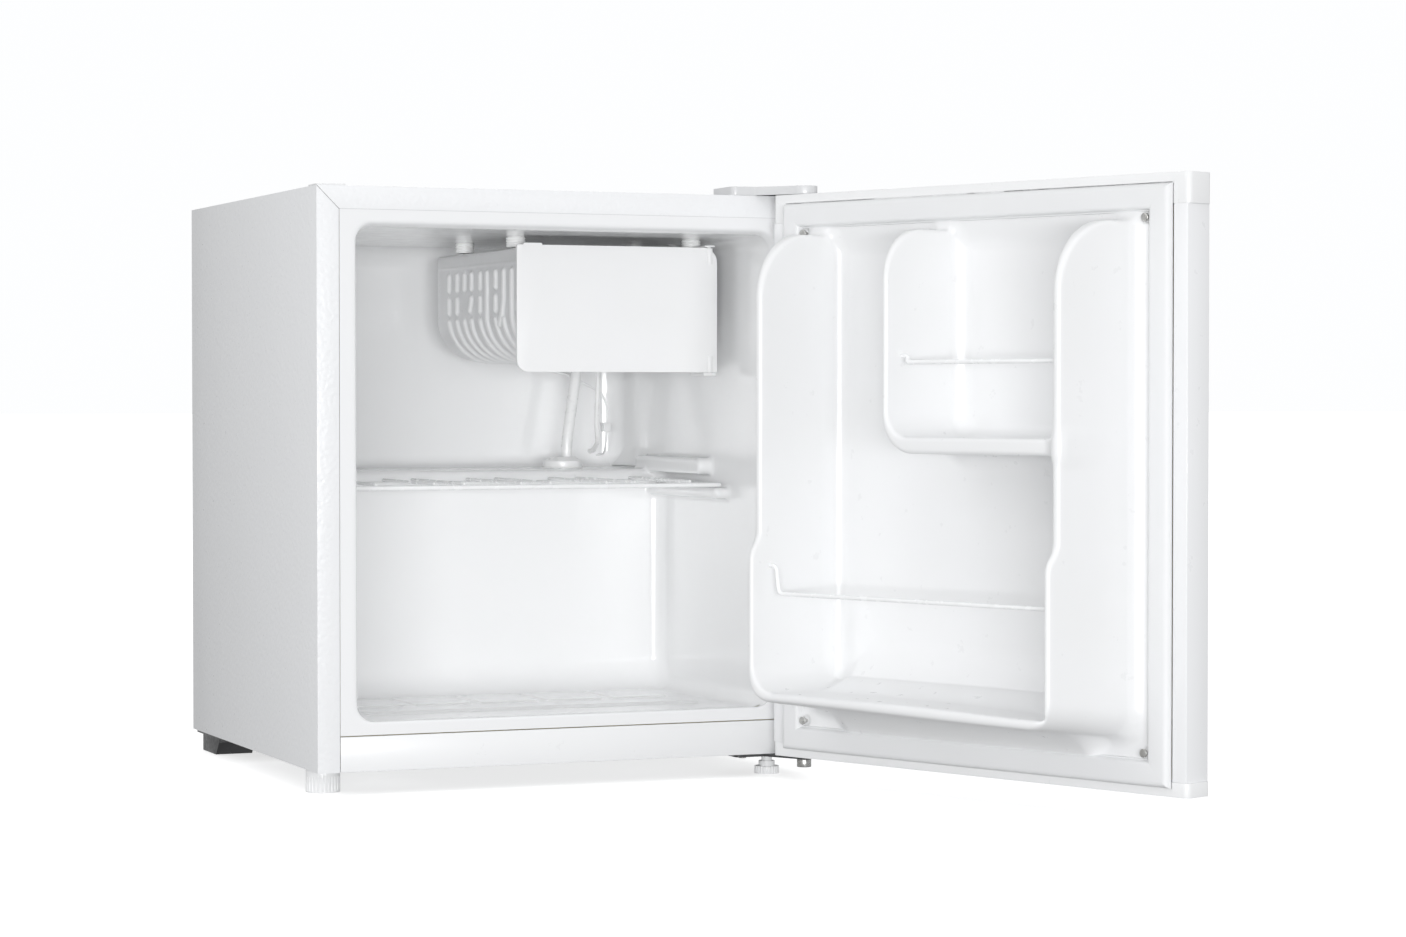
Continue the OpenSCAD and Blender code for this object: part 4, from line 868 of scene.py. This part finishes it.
def refine_all():
    """Node, material, bevel in millimetres and its segments"""
    plan = [
        ("outer_shell", "grain", 0.7, 3), ("front_strip", "paint", 0.35, 2),
        ("cabinet_foam", "foam", 0, 1), ("back_panel", "sheet", 0.2, 1), ("bay_panel", "sheet", 0.2, 1),
        ("compressor_base", "black", 0.5, 2), ("blanking_cap", "plastic", 0.5, 3),
        ("top_hinge_plate", "black", 0.4, 2), ("top_hinge_cover", "cover", 1.2, 4),
        ("bottom_hinge_plate", "black", 0.5, 2), ("hinge_pins", "steel", 0.5, 2),
        ("hinge_screws", "zinc", 0.5, 2), ("foot_nuts", "zinc", 0.3, 1),
        ("left_front_foot", "plastic", 0.35, 2), ("right_front_foot", "plastic", 0.3, 2),
        ("evaporator_posts", "post", 0.3, 2), ("evaporator_screws", "zinc", 0.4, 2),
        ("freezer_back_plate", "evap", 0.2, 1), ("flap_lugs", "plastic", 0.5, 2),
        ("flap_stop", "plastic", 0.5, 2), ("freezer_flap", "flap", 0.8, 3),
        ("pipe_grommet", "post", 1.0, 3), ("capillary_clip", "plastic", 0.4, 2),
        ("compressor_shell", "black", 0.8, 3), ("compressor_feet", "black", 0.4, 2),
        ("compressor_grommets", "blackrubber", 0.6, 2), ("compressor_bolts", "zinc", 0.4, 2),
        ("terminal_cover", "blackplastic", 1.5, 3), ("start_relay", "cream", 1.0, 2),
        ("condenser_tube", "black", 0, 1), ("condenser_wires", "black", 0, 1),
        ("condenser_brackets", "blackplastic", 0.4, 2), ("filter_drier", "copper", 0, 1),
        ("discharge_tube", "copper", 0, 1), ("suction_tube", "copper", 0, 1),
        ("process_tube", "copper", 0, 1), ("evaporation_tray", "blackplastic", 0.8, 3),
        ("thermostat_housing", "blackplastic", 1.5, 3), ("thermostat_knob", "plastic", 0.5, 2),
        ("cord_gland", "blackrubber", 0.6, 2), ("door_panel", "skin", 0.6, 3),
        ("door_top_cap", "plastic", 0.9, 3), ("door_bottom_cap", "plastic", 0.9, 3),
        ("gasket_magnets", "magnet", 0.2, 1), ("door_screws", "zinc", 0.4, 2),
        ("door_bushes", "plastic", 0.3, 1),
    ]
    for node, key, bevel, seg in plan:
        ob = refine(node, M[key], bevel, seg)
        if node == "cabinet_foam":
            for v in ob.data.vertices:
                v.co.y = max(v.co.y, FRONT + FOAM_BACK * MM)


def build_door_foam():
    """The foam behind the door's liner, out of sight"""
    v, f = [], []
    n = 12
    xs = np.linspace(-218.8, 218.8, n)
    zs = np.linspace(31.4, 473.1, n)
    for c in (-32.8, -20.2):
        for x in xs:
            for z in zs:
                v.append((x, c + 0.15 * math.sin(x * 0.31) * math.cos(z * 0.27), z))
    for i in range(n - 1):
        for k in range(n - 1):
            a = i * n + k
            f.append((a, a + 1, a + n + 1, a + n))
            b = a + n * n
            f.append((b, b + n, b + n + 1, b + 1))
    rim = ([(i * n, (i + 1) * n) for i in range(n - 1)]
           + [((n - 1) * n + k, (n - 1) * n + k + 1) for k in range(n - 1)]
           + [((n - i) * n - 1, (n - 1 - i) * n - 1) for i in range(n - 1)]
           + [(n - 1 - k, n - 2 - k) for k in range(n - 1)])
    for a, b in rim:
        f.append((a, b, b + n * n, a + n * n))
    ob = new_object("door_filling", on_door(v), f, "door", M["foam"], 60)
    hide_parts("door_foam")


build_cabinet_liner()
build_door_liner()
build_door_foam()
build_gasket()
build_evaporator()
build_shelf()
build_rails()
build_pipes()
refine_all()


# ---------------------------------------------------------------- stage

GLOW = 0.62


def build_stage():
    """A pale floor that glows but lights nothing, a soft room, white where the camera sees it, two lights"""
    n = Nodes("floor", (0.90, 0.90, 0.90), 0.8, spec=0.2)
    n.b.inputs["Emission Color"].default_value = (1.0, 1.0, 1.0, 1.0)
    n.b.inputs["Emission Strength"].default_value = GLOW
    n.mottle(3.0, 0.01).gloss(60.0, 0.05)
    n.bump(n.noise(400.0, 2.0), 0.05, 0.0002)
    me = bpy.data.meshes.new("floor")
    ys = (-30.0, 0.0, 30.0, 60.0)
    verts = [(x, y, -0.0002) for x in (-45.0, 45.0) for y in ys]
    k = len(ys)
    faces = [(i, k + i, k + i + 1, i + 1) for i in range(k - 1)]
    me.from_pydata(verts, [], faces)
    me.polygons.foreach_set("use_smooth", np.ones(len(faces), bool))
    ob = bpy.data.objects.new("floor", me)
    me.materials.append(n.m)
    bpy.context.scene.collection.objects.link(ob)
    ob.visible_diffuse = False
    ob.visible_glossy = False

    w = bpy.data.worlds.new("studio")
    bpy.context.scene.world = w
    w.use_nodes = True
    t = w.node_tree
    bg = t.nodes["Background"]
    tc = t.nodes.new("ShaderNodeTexCoord")
    sep = t.nodes.new("ShaderNodeSeparateXYZ")
    t.links.new(tc.outputs["Generated"], sep.inputs[0])
    up = t.nodes.new("ShaderNodeMapRange")
    t.links.new(sep.outputs["Z"], up.inputs[0])
    for i, v in enumerate((-1.0, 1.0, 0.20, 0.80)):
        up.inputs[i + 1].default_value = v
    seen = t.nodes.new("ShaderNodeLightPath")
    mix = t.nodes.new("ShaderNodeMix")
    t.links.new(seen.outputs["Is Camera Ray"], mix.inputs["Factor"])
    t.links.new(up.outputs[0], mix.inputs["A"])
    mix.inputs["B"].default_value = 1.0
    t.links.new(mix.outputs["Result"], bg.inputs["Strength"])
    bg.inputs["Color"].default_value = (0.985, 0.992, 1.0, 1.0)

    def area(name, loc, target, size, energy, color=(1, 1, 1)):
        d = bpy.data.lights.new(name, "AREA")
        d.shape = "RECTANGLE"
        d.size, d.size_y = size
        d.energy = energy
        d.color = color
        o = bpy.data.objects.new(name, d)
        o.location = loc
        o.rotation_euler = (Vector(target) - Vector(loc)).to_track_quat("-Z", "Y").to_euler()
        bpy.context.scene.collection.objects.link(o)

    cool = (0.985, 0.99, 1.0)
    area("front", (-1.35, -4.15, 0.24), (0.1, 0.0, 0.27), (2.4, 0.5), 106, cool)
    area("left", (-3.5, -0.7, 2.4), (0.0, 0.0, 0.25), (1.2, 2.2), 16, cool)


def build_camera():
    cam = bpy.data.cameras.new("camera")
    cam.sensor_width = 36.0
    cam.lens = 86.04
    ob = bpy.data.objects.new("camera", cam)
    yaw, pitch = math.radians(22.882), math.radians(-1.219)
    ob.location = (-0.99235, -2.83978, 0.32578)
    ahead = Vector((math.sin(yaw) * math.cos(pitch), math.cos(yaw) * math.cos(pitch), math.sin(pitch)))
    ob.rotation_euler = ahead.to_track_quat("-Z", "Y").to_euler()
    cam.clip_end = 120
    bpy.context.scene.collection.objects.link(ob)
    bpy.context.scene.camera = ob


build_stage()
build_camera()
bpy.context.scene.view_settings.view_transform = "Standard"
bpy.context.scene.view_settings.gamma = 1.16
